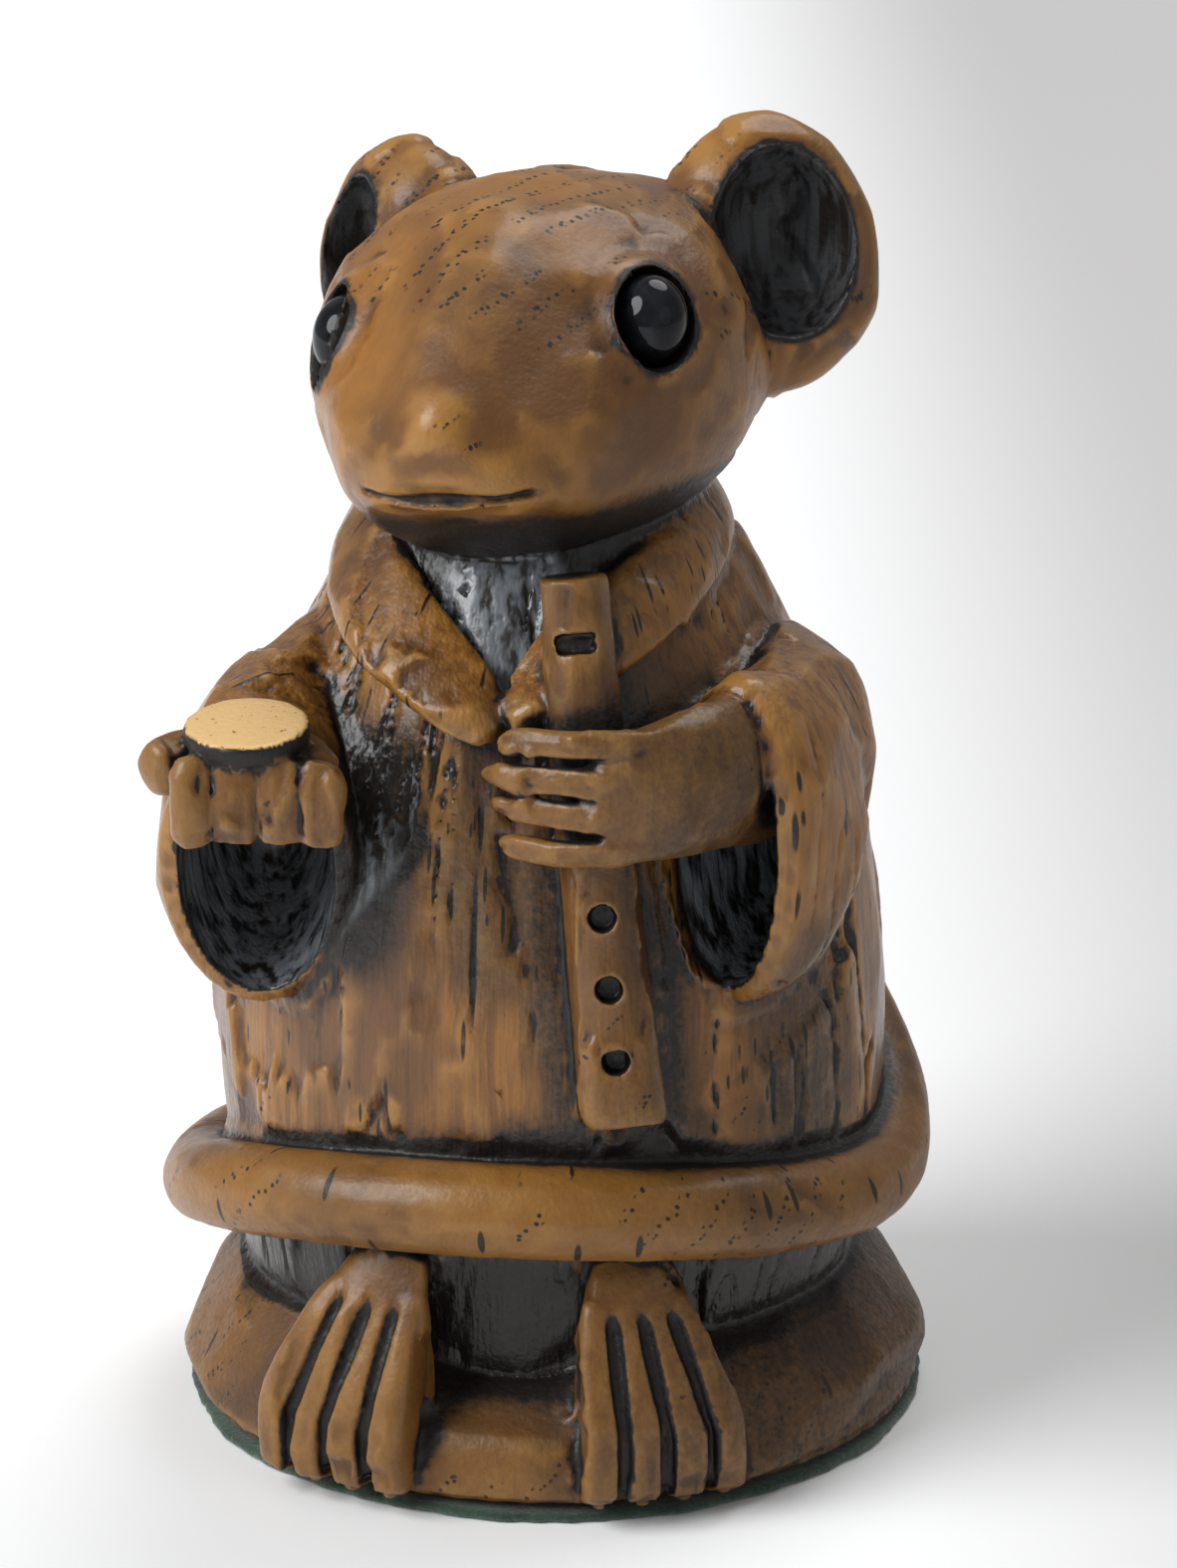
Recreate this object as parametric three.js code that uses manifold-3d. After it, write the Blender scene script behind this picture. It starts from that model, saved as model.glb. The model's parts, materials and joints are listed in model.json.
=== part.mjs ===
// A robed mouse that plays a whistle and holds out a coin, cast in one piece from a carved master.
// Millimetres, +Z up. The origin is the middle of the round foot's underside, and the mouse looks along -Y.
import * as THREE from "three";
import { mergeVertices } from "three/addons/utils/BufferGeometryUtils.js";
import Module from "manifold-3d";

const wasm = await Module();
wasm.setup();

// Driving sizes
const FIGURE_HEIGHT = 78.5; // from the felt to the tip of the taller ear
const FELT_THICKNESS = 1;
const FELT_RADIUS = 23.2;
const FOOT_RADIUS = 23; // of the round mound that the mouse stands on
const MOUND_HEIGHT = 8.4;
const MOUND_CHAMFER = 0.6;
const MOUND_DIP = 1.9; // between the feet
const STANCE = 0.7; // the mouse stands this far to its right of the mound's middle
const ROBE_HALF_WIDTH = 20.7; // at the hem
const ROBE_HALF_DEPTH = 20;
const TAIL_THICKNESS = 5.8;
const SLEEVE_WALL = 1.3;
const SLEEVE_HOLLOW = 12; // how far the sleeve's mouth goes in
const EYE_RADIUS = 2.3;
const EYE_CLEARANCE = 0.25; // between a glass eye and its socket
const EAR_WALL = 2.5; // beside the cup
const COIN_RADIUS = 3.65;
const COIN_THICKNESS = 1.3;
const WHISTLE_TOP_RADIUS = 2;
const WHISTLE_END_RADIUS = 2.55;
const FINGER_HOLE_RADIUS = 0.8;
const FINGER_HOLE_DEPTH = 1.4;
const FINGER_THICKNESS = 1.7;
const TOE_WIDTH = 2.4;

// The free form is drawn for a figure 78.5 high, and follows the height above.
const share = FIGURE_HEIGHT / 78.5;

const degrees = THREE.MathUtils.degToRad;
const up = new THREE.Vector3(0, 0, 1);

const STANCE_OFFSET = [-STANCE, 0, 0];

function at(x, y, z) {
  return new THREE.Vector3(x, y, z).multiplyScalar(share);
}

// A point at an angle round the figure's axis, counted from the front towards the mouse's left hand.
function around(angle, radius, z) {
  return new THREE.Vector3(radius * Math.sin(degrees(angle)), -radius * Math.cos(degrees(angle)), z);
}

// Solids

function solid(geometry, matrix = new THREE.Matrix4()) {
  const bare = geometry.clone().applyMatrix4(matrix);
  for (const name of Object.keys(bare.attributes)) if (name !== "position") bare.deleteAttribute(name);
  const merged = mergeVertices(bare, 1e-4);
  const made = new wasm.Manifold(
    new wasm.Mesh({
      numProp: 3,
      vertProperties: merged.attributes.position.array,
      triVerts: new Uint32Array(merged.index.array),
    }),
  );
  return made;
}

function joined(solids) {
  return solids.reduce((all, one) => all.add(one));
}

function meshOf(name, made, material) {
  const { vertProperties, triVerts } = made.getMesh();
  const geometry = new THREE.BufferGeometry()
    .setAttribute("position", new THREE.BufferAttribute(new Float32Array(vertProperties), 3))
    .setIndex(new THREE.BufferAttribute(new Uint32Array(triVerts), 1));
  geometry.computeVertexNormals();
  const mesh = new THREE.Mesh(geometry, material);
  mesh.name = name;
  return mesh;
}

// Where rings stand along a form: close together over a rounded end, and even between the ends.
function spacing(steps, roundStart, roundEnd) {
  const capRings = 2;
  const places = [];
  for (let k = 0; k < capRings; k++) {
    if (roundStart) places.push(roundStart * (1 - Math.cos((k / capRings) * (Math.PI / 2))));
  }
  for (let k = 0; k <= steps; k++) {
    places.push(roundStart + (k / steps) * (1 - roundStart - roundEnd));
  }
  for (let k = capRings - 1; k >= 0; k--) {
    if (roundEnd) places.push(1 - roundEnd * (1 - Math.cos((k / capRings) * (Math.PI / 2))));
  }
  return places;
}

function capScale(distance, rounding) {
  if (!rounding || distance >= rounding) return 1;
  return Math.sqrt(Math.max(0, 1 - (1 - distance / rounding) ** 2));
}

// A closed form with oval sections strung along a smooth path.
// Each row is { point, width, height }, with half sizes; a row's height lies along the section's upward side.
function loft(rows, options = {}) {
  const { sides = 14, steps = 8, roundStart = 0, roundEnd = 0, squareness = 2, upward = () => up } = options;
  const path = new THREE.CatmullRomCurve3(rows.map((row) => row.point), false, "catmullrom", 0.5);
  const sizes = new THREE.CatmullRomCurve3(
    rows.map((row) => new THREE.Vector3(row.width, row.height, 0)),
    false,
    "catmullrom",
    0.5,
  );
  const rings = [];
  for (const t of spacing(steps, roundStart, roundEnd)) {
    const centre = path.getPoint(t);
    const size = sizes.getPoint(t).multiplyScalar(capScale(t, roundStart) * capScale(1 - t, roundEnd));
    const along = path.getTangent(t);
    const side = new THREE.Vector3().crossVectors(along, upward(centre)).normalize();
    const top = new THREE.Vector3().crossVectors(side, along);
    if (size.x < 1e-6) {
      rings.push([centre]);
      continue;
    }
    rings.push(
      Array.from({ length: sides }, (_, j) => {
        const angle = (2 * Math.PI * j) / sides;
        const bend = (value) => Math.sign(value) * Math.abs(value) ** (2 / squareness);
        return centre
          .clone()
          .addScaledVector(side, size.x * bend(Math.cos(angle)))
          .addScaledVector(top, size.y * bend(Math.sin(angle)));
      }),
    );
  }
  return ringSolid(rings, sides);
}

// Closes a stack of rings. A first or last ring of one point is a pole; any other gets a flat cap.
function ringSolid(rings, sides) {
  const middle = (ring) => ring.reduce((sum, p) => sum.add(p), new THREE.Vector3()).divideScalar(ring.length);
  const stack = rings.filter((ring) => ring.length > 1);
  const start = middle(rings[0]);
  const end = middle(rings[rings.length - 1]);
  const points = [...stack.flat(), start, end];
  const first = points.length - 2;
  const last = points.length - 1;
  const index = [];
  for (let k = 0; k < stack.length - 1; k++) {
    for (let j = 0; j < sides; j++) {
      const a = k * sides + j;
      const b = k * sides + ((j + 1) % sides);
      index.push(a, b, b + sides, a, b + sides, a + sides);
    }
  }
  const top = (stack.length - 1) * sides;
  for (let j = 0; j < sides; j++) {
    index.push(first, (j + 1) % sides, j);
    index.push(last, top + j, top + ((j + 1) % sides));
  }
  const flipped = signedVolume(points, index) < 0;
  const faces = flipped ? index.map((_, i) => index[i - (i % 3) + [0, 2, 1][i % 3]]) : index;
  const geometry = new THREE.BufferGeometry().setFromPoints(points).setIndex(faces);
  return solid(geometry);
}

function signedVolume(points, index) {
  let volume = 0;
  for (let i = 0; i < index.length; i += 3) {
    const [a, b, c] = [points[index[i]], points[index[i + 1]], points[index[i + 2]]];
    volume += a.dot(new THREE.Vector3().crossVectors(b, c));
  }
  return volume;
}

function row(point, width, height) {
  return { point, width, height };
}

// A row of the free form: a place and half sizes, as drawn.
function drawn(x, y, z, width, height) {
  return row(at(x, y, z), width * share, height * share);
}

function ellipsoid(halfSizes, matrix, segments = 24, rings = 16) {
  const ball = new THREE.SphereGeometry(1, segments, rings);
  ball.rotateX(Math.PI / 2);
  return solid(ball, matrix.clone().scale(halfSizes));
}

// The mound, robe and tail

function mound() {
  const height = MOUND_HEIGHT;
  const profile = [
    [0, 0],
    [FOOT_RADIUS - MOUND_CHAMFER, 0],
    [FOOT_RADIUS, MOUND_CHAMFER],
    [FOOT_RADIUS - 0.1, height * 0.26],
    [FOOT_RADIUS - 0.9, height * 0.55],
    [FOOT_RADIUS - 2.1, height * 0.8],
    [FOOT_RADIUS - 3.9, height],
    [0, height],
  ];
  const turned = new THREE.LatheGeometry(profile.map(([r, z]) => new THREE.Vector2(r, z)), 36);
  turned.rotateX(Math.PI / 2);
  const dip = new THREE.BoxGeometry(12.4 * share, 12 * share, 2 * MOUND_DIP);
  dip.translate(0, -FOOT_RADIUS, height);
  dip.rotateZ(degrees(3));
  return solid(turned).subtract(solid(dip));
}

function robe() {
  const w = ROBE_HALF_WIDTH / share;
  const d = ROBE_HALF_DEPTH / share;
  const rows = [
    drawn(0.2, 0, 4, 0.87 * w, 0.87 * d),
    drawn(0.2, 0, 9, 0.92 * w, 0.92 * d),
    drawn(0.3, 0, 14, 0.97 * w, 0.97 * d),
    drawn(0.3, 0, 20, w, d),
    drawn(0.3, 0, 27, w, d),
    drawn(0.2, 0.1, 34, 0.965 * w, 0.955 * d),
    drawn(0.1, 0, 41, 0.87 * w, 0.89 * d),
    drawn(0.1, -0.3, 47, 0.73 * w, 0.8 * d),
    drawn(0.1, -0.6, 51, 0.62 * w, 0.7 * d),
    drawn(0.1, -0.8, 54.5, 0.53 * w, 0.58 * d),
    drawn(0, -0.6, 58, 0.47 * w, 0.5 * d),
    drawn(0, 0, 62, 0.42 * w, 0.42 * d),
  ];
  return loft(rows, { sides: 28, steps: 12, upward: () => new THREE.Vector3(0, 1, 0) });
}

function tail() {
  const half = TAIL_THICKNESS / 2;
  // Angle round the figure, how far out and how high the tail's middle is, and its thickness as a share.
  const route = [
    [176, -8, 31.5, 1.1],
    [158, -1.6, 26.4, 1.08],
    [135, 0.5, 21.8, 1.05],
    [110, 0.5, 17, 1.02],
    [84, 0.5, 14.8, 1],
    [56, 0.7, 16, 1],
    [28, 0.9, 17.7, 0.99],
    [0, 1.1, 18.3, 0.98],
    [-28, 0.9, 17.4, 0.97],
    [-52, 0.6, 15.3, 0.96],
    [-76, 0.4, 12.6, 0.93],
    [-100, 0.4, 11.3, 0.85],
    [-124, 0.3, 11, 0.72],
    [-144, 0, 11, 0.55],
    [-158, -0.2, 11.2, 0.36],
  ];
  const rows = route.map(([angle, out, z, thick]) =>
    row(around(angle, ROBE_HALF_WIDTH + out * share, z * share), half * thick, half * thick),
  );
  return loft(rows, { sides: 8, steps: 32, roundStart: 0.02, roundEnd: 0.02 });
}

// The head, turned a little to the mouse's right and tipped the same way

const HEAD_PLACE = at(0.5, 0, 65.4);
const headMatrix = new THREE.Matrix4()
  .makeTranslation(HEAD_PLACE)
  .multiply(new THREE.Matrix4().makeRotationZ(degrees(-8)))
  .multiply(new THREE.Matrix4().makeRotationY(degrees(-4)));

// How far each section stands ahead of the head's middle, its lift, and its half width and height.
const HEAD_SECTIONS = [
  [-13, 0, 0, 0],
  [-12.2, 0, 5, 4.4],
  [-8.5, -0.1, 10.4, 8.6],
  [-2, -0.6, 13, 10.5],
  [4, -0.9, 13.2, 10.6],
  [9, -1.5, 12, 9.8],
  [13, -2.3, 10.2, 8.3],
  [16.5, -2.7, 8.2, 6.5],
  [19, -2.6, 6.1, 4.7],
  [20.6, -2.3, 3.6, 2.8],
  [21.3, -2.1, 0, 0],
];

// The brow falls to the muzzle in a flat cut on each side, which leaves a ridge down to the nose,
// and the throat is cut back under the chin.
function head() {
  const rows = HEAD_SECTIONS.map(([ahead, lift, width, height]) => drawn(0, -ahead, lift, width, height));
  const round = loft(rows, { sides: 24, steps: 13, squareness: 2.3 });
  const flats = [
    [0.56, -0.49, 0.67, 12.3],
    [-0.56, -0.49, 0.67, 12.3],
    [0, -0.6, -0.8, 16.2],
  ];
  return flats
    .reduce((cut, [x, y, z, out]) => cut.trimByPlane([-x, -y, -z], -out * share), round)
    .transform(headMatrix.elements);
}

// A cut round the muzzle, deepest at its middle.
function mouthCut() {
  const rows = [-1, -0.55, 0, 0.55, 1].map((side) => {
    const deep = 0.8 + 0.35 * (1 - side * side);
    return drawn(5.4 * side, -21.2 + 1.9 * side * side, -5 + 0.2 * side * side, deep, 0.35);
  });
  return loft(rows, { sides: 6, steps: 6, roundStart: 0.1, roundEnd: 0.1 }).transform(headMatrix.elements);
}

const EAR_SIZE = at(6.9, 4.4, 8.4);

// Places in the head's own frame. side is 1 for the mouse's left and -1 for its right.
const EAR_PLACE = { 1: at(12, 5.6, 3.7), [-1]: at(-10.8, 5.6, 2.6) };
const EYE_PLACE = { 1: at(9.2, -9.4, 2.9), [-1]: at(-9, -9.4, 1.9) };
const EAR_TURN = 36;
const EYE_TURN = 47;

function earMatrix(side) {
  return headMatrix
    .clone()
    .multiply(new THREE.Matrix4().makeTranslation(EAR_PLACE[side]))
    .multiply(new THREE.Matrix4().makeRotationZ(degrees(side * EAR_TURN)))
    .multiply(new THREE.Matrix4().makeRotationX(degrees(-10)));
}

function ear(side) {
  return ellipsoid(EAR_SIZE, earMatrix(side), 18, 10);
}

function earHollow(side) {
  const inner = new THREE.Vector3(EAR_SIZE.x - EAR_WALL, EAR_SIZE.y * 1.1, EAR_SIZE.z - 1.16 * EAR_WALL);
  const forward = new THREE.Matrix4().makeTranslation(side * 0.8 * share, -EAR_SIZE.y * 0.72, 0.6 * share);
  return ellipsoid(inner, earMatrix(side).multiply(forward), 16, 8);
}

// The middle of a glass eye, with its outward way along -Y.
function eyeMatrix(side) {
  return headMatrix
    .clone()
    .multiply(new THREE.Matrix4().makeTranslation(EYE_PLACE[side]))
    .multiply(new THREE.Matrix4().makeRotationZ(degrees(side * EYE_TURN)))
    .multiply(new THREE.Matrix4().makeRotationX(degrees(-14)));
}

function eyeSocket(side) {
  const reach = EYE_RADIUS + EYE_CLEARANCE;
  const pocket = ellipsoid(new THREE.Vector3(reach, reach, reach), eyeMatrix(side), 12, 8);
  const lids = eyeMatrix(side)
    .multiply(new THREE.Matrix4().makeTranslation(0, -EYE_RADIUS * 0.75, 0))
    .multiply(new THREE.Matrix4().makeRotationY(degrees(side * 28)));
  const almond = ellipsoid(new THREE.Vector3(reach * 1.1, EYE_RADIUS * 0.8, reach * 1.32), lids, 8, 6);
  return pocket.add(almond);
}

function eye(side) {
  const bead = ellipsoid(new THREE.Vector3(EYE_RADIUS, EYE_RADIUS, EYE_RADIUS), eyeMatrix(side), 14, 10);
  return bead.translate(STANCE_OFFSET);
}

// The collar, a flat band that meets in a V on the chest

function collar() {
  // From the tip of the V round the mouse's right side of the neck to the nape, then back.
  const half = [
    [-1.5, -17.9, 47.2, 2.5],
    [-4.8, -15.4, 50.2, 3],
    [-8, -11.6, 52.6, 3],
    [-10.2, -5, 54.6, 2.6],
    [-9.6, 2.6, 55.6, 2.3],
    [-5.6, 8, 56.2, 2.2],
  ];
  const back = half.map(([x, y, z, wide], i) => [i ? -x : 0.4, y + 0.4, z, wide - 0.3]).reverse();
  const rows = [...half, [0, 9.6, 56.4, 2.2], ...back].map(([x, y, z, wide]) => drawn(x, y, z, 1, wide));
  const lean = (p) => new THREE.Vector3(-p.x, -p.y, 16 * share).normalize();
  return loft(rows, { sides: 8, steps: 20, squareness: 3, upward: lean });
}

// Sleeves and hands

const RIGHT_SLEEVE = [
  drawn(-5, 4, 47.6, 4, 4),
  drawn(-9.4, -1.6, 44.6, 5, 5.8),
  drawn(-13.2, -8.2, 41, 5.3, 7.8),
  drawn(-14.2, -14, 38.6, 5.7, 9.2),
  drawn(-13.5, -19.3, 37.2, 5.9, 9.8),
];
const LEFT_SLEEVE = [
  drawn(5, 4.5, 46.6, 4, 4),
  drawn(10.4, 2.4, 43.6, 5, 5.6),
  drawn(15.2, -3.4, 41, 5.2, 8.2),
  drawn(15.6, -10.4, 39.4, 5, 9.5),
  drawn(13.2, -15.8, 39.2, 4.8, 10.1),
];

function sleeve(rows) {
  return loft(rows, { sides: 18, steps: 7, roundStart: 0.08 });
}

// The open mouth of a sleeve, cut in from its last row.
function sleeveHollow(rows) {
  const end = rows[rows.length - 1];
  const before = rows[rows.length - 2];
  const inward = new THREE.Vector3().subVectors(before.point, end.point).normalize();
  const place = (distance, tight) =>
    row(end.point.clone().addScaledVector(inward, distance), (end.width - SLEEVE_WALL) * tight, (end.height - SLEEVE_WALL) * tight);
  const cut = [place(-2, 1.02), place(SLEEVE_HOLLOW * 0.3, 0.95), place(SLEEVE_HOLLOW * 0.7, 0.8), place(SLEEVE_HOLLOW, 0.6)];
  return loft(cut, { sides: 16, steps: 4, roundEnd: 0.12 });
}

function finger(points, thick = FINGER_THICKNESS / 2, tall = thick, upward = up) {
  const rows = points.map(([x, y, z]) => row(at(x, y, z), thick, tall));
  return loft(rows, { sides: 7, steps: 3, roundStart: 0.12, roundEnd: 0.12, upward: () => upward });
}

// The left hand comes out of its sleeve and closes over the whistle.
function leftHand() {
  const palm = loft(
    [
      drawn(15.4, -2.5, 40.5, 2.6, 3.2),
      drawn(14.8, -9.5, 41.8, 2.8, 3.6),
      drawn(13.4, -15.5, 43.4, 2.8, 4),
      drawn(11.4, -19.4, 44, 2.3, 4.3),
      drawn(8.4, -21.2, 43.8, 1.5, 4),
      drawn(6.8, -21, 43.6, 1, 3.7),
    ],
    { sides: 10, steps: 6, roundStart: 0.05, roundEnd: 0.08 },
  );
  // Heights of each finger at the knuckle, over the whistle and at the tip.
  const heights = [
    [47.1, 46.9, 46.5],
    [45, 44.7, 44.4],
    [42.9, 42.7, 42.5],
    [41, 40.4, 40.3],
  ];
  const reach = [-0.2, -1.3, -0.5, -0.3];
  const fingers = heights.map(([knuckle, middle, tip], i) =>
    finger([
      [10.6, -20.4, knuckle],
      [8.2, -21.9, (knuckle + middle) / 2],
      [5, -22, middle],
      [1.2 + reach[i], -20.2, tip],
    ]),
  );
  return [palm, ...fingers];
}

// The right hand lies palm up under the coin, its fingers curled down in front.
function rightHand() {
  const palm = loft(
    [
      drawn(-14.4, -4.5, 41.4, 2.8, 2.6),
      drawn(-14.4, -12, 42.6, 3, 2.6),
      drawn(-13.6, -17.6, 43.9, 3.2, 2.5),
      drawn(-12.2, -22, 45, 4.3, 1.9),
      drawn(-11.4, -25.4, 45, 4.4, 1.3),
    ],
    { sides: 10, steps: 6, roundStart: 0.05, roundEnd: 0.08 },
  );
  const fingers = [0, 1, 2, 3].map((i) => {
    const [x, y] = [-15.6 + 2.45 * i, -26 + 0.3 * i];
    const curl = [[x, y + 0.5, 46.2], [x, y - 0.2, 44.9], [x + 0.1, y - 0.2, 42.8], [x + 0.1, y + 0.4, 41.2]];
    return finger(curl, 1.25 * share, 1.2 * share, new THREE.Vector3(0, -1, 0));
  });
  const thumb = finger([[-14.6, -20.5, 45.2], [-16.8, -22.4, 45.1], [-18.2, -24.6, 44.8]], 1.5 * share, 1.75 * share);
  return [palm, ...fingers, thumb];
}

function coin() {
  const disc = new THREE.CylinderGeometry(COIN_RADIUS, COIN_RADIUS * 0.94, COIN_THICKNESS, 22);
  disc.rotateX(Math.PI / 2);
  const place = new THREE.Matrix4()
    .makeTranslation(at(-12.9, -23.3, 47.1))
    .multiply(new THREE.Matrix4().makeRotationX(degrees(8)));
  return solid(disc, place);
}

// The whistle

const WHISTLE_TOP = at(4.5, -16.3, 55.2);
const WHISTLE_END = at(8.2, -20.2, 23.6);
const whistleAxis = new THREE.Vector3().subVectors(WHISTLE_END, WHISTLE_TOP);

// A frame on the whistle's front, a share of the way down, with its outward way along Z.
function onWhistle(portion, outward) {
  const front = new THREE.Vector3(0.16, -1, 0);
  const along = whistleAxis.clone().normalize();
  const facing = front.addScaledVector(along, -front.dot(along)).normalize();
  const across = new THREE.Vector3().crossVectors(along, facing);
  const radius = THREE.MathUtils.lerp(WHISTLE_TOP_RADIUS, WHISTLE_END_RADIUS, portion);
  const origin = WHISTLE_TOP.clone().addScaledVector(whistleAxis, portion).addScaledVector(facing, radius + outward);
  return new THREE.Matrix4().makeBasis(across, along, facing).setPosition(origin);
}

function whistle() {
  const rows = [0, 0.35, 0.7, 1].map((portion) => {
    const radius = THREE.MathUtils.lerp(WHISTLE_TOP_RADIUS, WHISTLE_END_RADIUS, portion);
    return row(WHISTLE_TOP.clone().addScaledVector(whistleAxis, portion), radius, radius);
  });
  return loft(rows, { sides: 16, steps: 4, squareness: 2.4, upward: () => new THREE.Vector3(0.16, -1, 0) });
}

function whistleCuts() {
  const holes = [0.61, 0.74, 0.87].map((portion) => {
    const drill = new THREE.CylinderGeometry(FINGER_HOLE_RADIUS, FINGER_HOLE_RADIUS, 2 * FINGER_HOLE_DEPTH, 12);
    drill.rotateX(Math.PI / 2);
    return solid(drill, onWhistle(portion, 0));
  });
  const window = solid(new THREE.BoxGeometry(2.3, 1.1, 1.8), onWhistle(0.115, 0));
  return joined([window, ...holes]);
}

// Feet, each an instep with four long toes that reach down the mound's side

function foot(topAngle, toeAngle) {
  const outward = around(toeAngle, 1, 0);
  const reach = FOOT_RADIUS + STANCE;
  const place = (angle, back, z, width, height) =>
    row(around(angle, reach - back * share, z * share), width * share, height * share);
  const instep = loft(
    [
      place(topAngle, 4.4, 14.4, 2.4, 1.8),
      place(topAngle, 3.1, 12, 3.5, 1.7),
      place((topAngle + toeAngle) / 2, 3.2, 7.4, 4.4, 1.2),
      place(toeAngle, 2.4, -0.2, 5, 1),
    ],
    { sides: 10, steps: 4, roundStart: 0.08, upward: () => outward },
  );
  const wide = TOE_WIDTH / 2 / share;
  const toes = [-1.5, -0.5, 0.5, 1.5].map((i) => {
    const top = topAngle + 4.4 * i;
    const low = toeAngle + 6.2 * i;
    return loft(
      [
        place(top, 3.1, 12.6, 0.78 * wide, 1.2),
        place((top + low) / 2 - 0.1 * i, 1.6, 9, 0.92 * wide, 1.6),
        place(low, 0.3, 4.8, wide, 1.6),
        place(low, 0, -0.2, 0.88 * wide, 1.3),
      ],
      { sides: 8, steps: 3, roundStart: 0.1, squareness: 2.3, upward: () => outward },
    );
  });
  return [instep, ...toes];
}

// Everything below the mound's flat underside is cut away, so that the casting sits flat on its felt.
function belowUnderside() {
  const block = new THREE.BoxGeometry(4 * FOOT_RADIUS, 4 * FOOT_RADIUS, 10);
  block.translate(0, 0, -5);
  return solid(block);
}

function mouse() {
  const robed = joined([
    robe(),
    tail(),
    collar(),
    sleeve(RIGHT_SLEEVE),
    sleeve(LEFT_SLEEVE),
    ...foot(-17.5, -22),
    ...foot(24.5, 27),
  ]);
  const hollowed = robed.subtract(sleeveHollow(RIGHT_SLEEVE)).subtract(sleeveHollow(LEFT_SLEEVE));
  const faced = joined([head(), ear(1), ear(-1)])
    .subtract(joined([earHollow(1), earHollow(-1), mouthCut()]));
  const held = joined([...leftHand(), ...rightHand(), coin(), whistle().subtract(whistleCuts())]);
  const figure = joined([hollowed, faced, held]).subtract(eyeSocket(1)).subtract(eyeSocket(-1));
  return mound().add(figure.translate(STANCE_OFFSET)).subtract(belowUnderside());
}

// Materials

const resin = new THREE.MeshStandardMaterial({ color: 0x7a4a22, roughness: 0.42, metalness: 0 });
const glass = new THREE.MeshStandardMaterial({ color: 0x0b0c0c, roughness: 0.06, metalness: 0 });
const felt = new THREE.MeshStandardMaterial({ color: 0x2c5a3a, roughness: 0.95, metalness: 0 });

// The whole figurine

const figurine = new THREE.Group();

const casting = new THREE.Group();
casting.position.z = FELT_THICKNESS;
casting.add(meshOf("mouse_casting", mouse(), resin));
casting.add(meshOf("left_eye", eye(1), glass));
casting.add(meshOf("right_eye", eye(-1), glass));
figurine.add(casting);

const pad = new THREE.CylinderGeometry(FELT_RADIUS, FELT_RADIUS, FELT_THICKNESS, 48);
pad.rotateX(Math.PI / 2);
const feltPad = new THREE.Mesh(pad, felt);
feltPad.name = "felt_pad";
feltPad.position.z = FELT_THICKNESS / 2;
figurine.add(feltPad);

export default figurine;
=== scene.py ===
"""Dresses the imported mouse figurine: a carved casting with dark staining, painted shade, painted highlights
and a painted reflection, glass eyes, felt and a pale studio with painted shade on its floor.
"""

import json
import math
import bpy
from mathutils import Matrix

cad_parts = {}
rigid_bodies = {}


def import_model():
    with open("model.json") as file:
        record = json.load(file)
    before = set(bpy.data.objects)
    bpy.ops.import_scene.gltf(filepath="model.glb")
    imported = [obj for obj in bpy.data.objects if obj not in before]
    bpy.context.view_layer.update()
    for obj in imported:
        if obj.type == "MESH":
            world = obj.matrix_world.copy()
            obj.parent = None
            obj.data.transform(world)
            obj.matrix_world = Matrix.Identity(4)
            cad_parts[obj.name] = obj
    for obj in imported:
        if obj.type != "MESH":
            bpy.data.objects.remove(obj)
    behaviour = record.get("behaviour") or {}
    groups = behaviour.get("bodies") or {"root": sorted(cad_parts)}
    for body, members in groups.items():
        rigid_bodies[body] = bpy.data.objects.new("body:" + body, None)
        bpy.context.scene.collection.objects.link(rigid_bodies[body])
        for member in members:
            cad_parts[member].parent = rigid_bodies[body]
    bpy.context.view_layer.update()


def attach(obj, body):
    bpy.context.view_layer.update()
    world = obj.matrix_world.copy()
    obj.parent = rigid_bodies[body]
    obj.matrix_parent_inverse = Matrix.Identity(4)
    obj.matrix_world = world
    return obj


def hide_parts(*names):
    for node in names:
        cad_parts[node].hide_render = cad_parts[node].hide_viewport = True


bl_info = {
    "name": "Carved Mouse Figurine",
    "version": (1, 0, 0),
    "blender": (4, 5, 0),
    "location": "View3D > Sidebar > Mouse",
    "description": "Models a cast figurine of a robed mouse with a whistle and a coin",
    "category": "Object",
}

import bmesh
import bpy
import numpy as np
from mathutils import Matrix, Vector
from mathutils.bvhtree import BVHTree
from mathutils.kdtree import KDTree

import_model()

MM = 0.001
LIFT = 1.0  # the felt's thickness in mm, under everything else
STANCE = -0.7  # all but the felt stands this far to one side, in mm
IN_FRAME = Matrix.Scale(MM, 4) @ Matrix.Translation((STANCE, 0, LIFT))
UP = np.array([0.0, 0.0, 1.0])
FIRST_RING = 0.012  # the first ring of a rounded end, as a share of that end, so that it has a size
LOOK_AHEAD = 0.004  # share of a path over which its direction is measured

# Finished forms wait here until they are fused: name of the object, and the kind of surface that it has.
forms = []
CLOTH, SKIN, TAIL, WOOD, MOUND, HAND, COIN, COLLAR, FOOT, SLEEVE = range(10)


# Points and directions


def lengths(vectors):
    return np.linalg.norm(vectors, axis=1)


def dots(a, b):
    return np.einsum("ij,ij->i", a, b)


def unit(vector):
    return vector / np.linalg.norm(vector)


def search_tree(points):
    tree = KDTree(len(points))
    for i, p in enumerate(points):
        tree.insert(p, i)
    tree.balance()
    return tree


def points_of(mesh):
    co = np.empty(len(mesh.vertices) * 3)
    mesh.vertices.foreach_get("co", co)
    return co.reshape(-1, 3)


def move_points(mesh, co):
    mesh.vertices.foreach_set("co", co.ravel())
    mesh.update()


def store(mesh, name, *columns):
    """Keeps four values of each point under a name, for the material to read."""
    data = np.stack(columns, axis=1).astype(np.float32)
    mesh.attributes.new(name, "FLOAT_COLOR", "POINT").data.foreach_set("color", data.ravel())


# Sections along smooth paths


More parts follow.
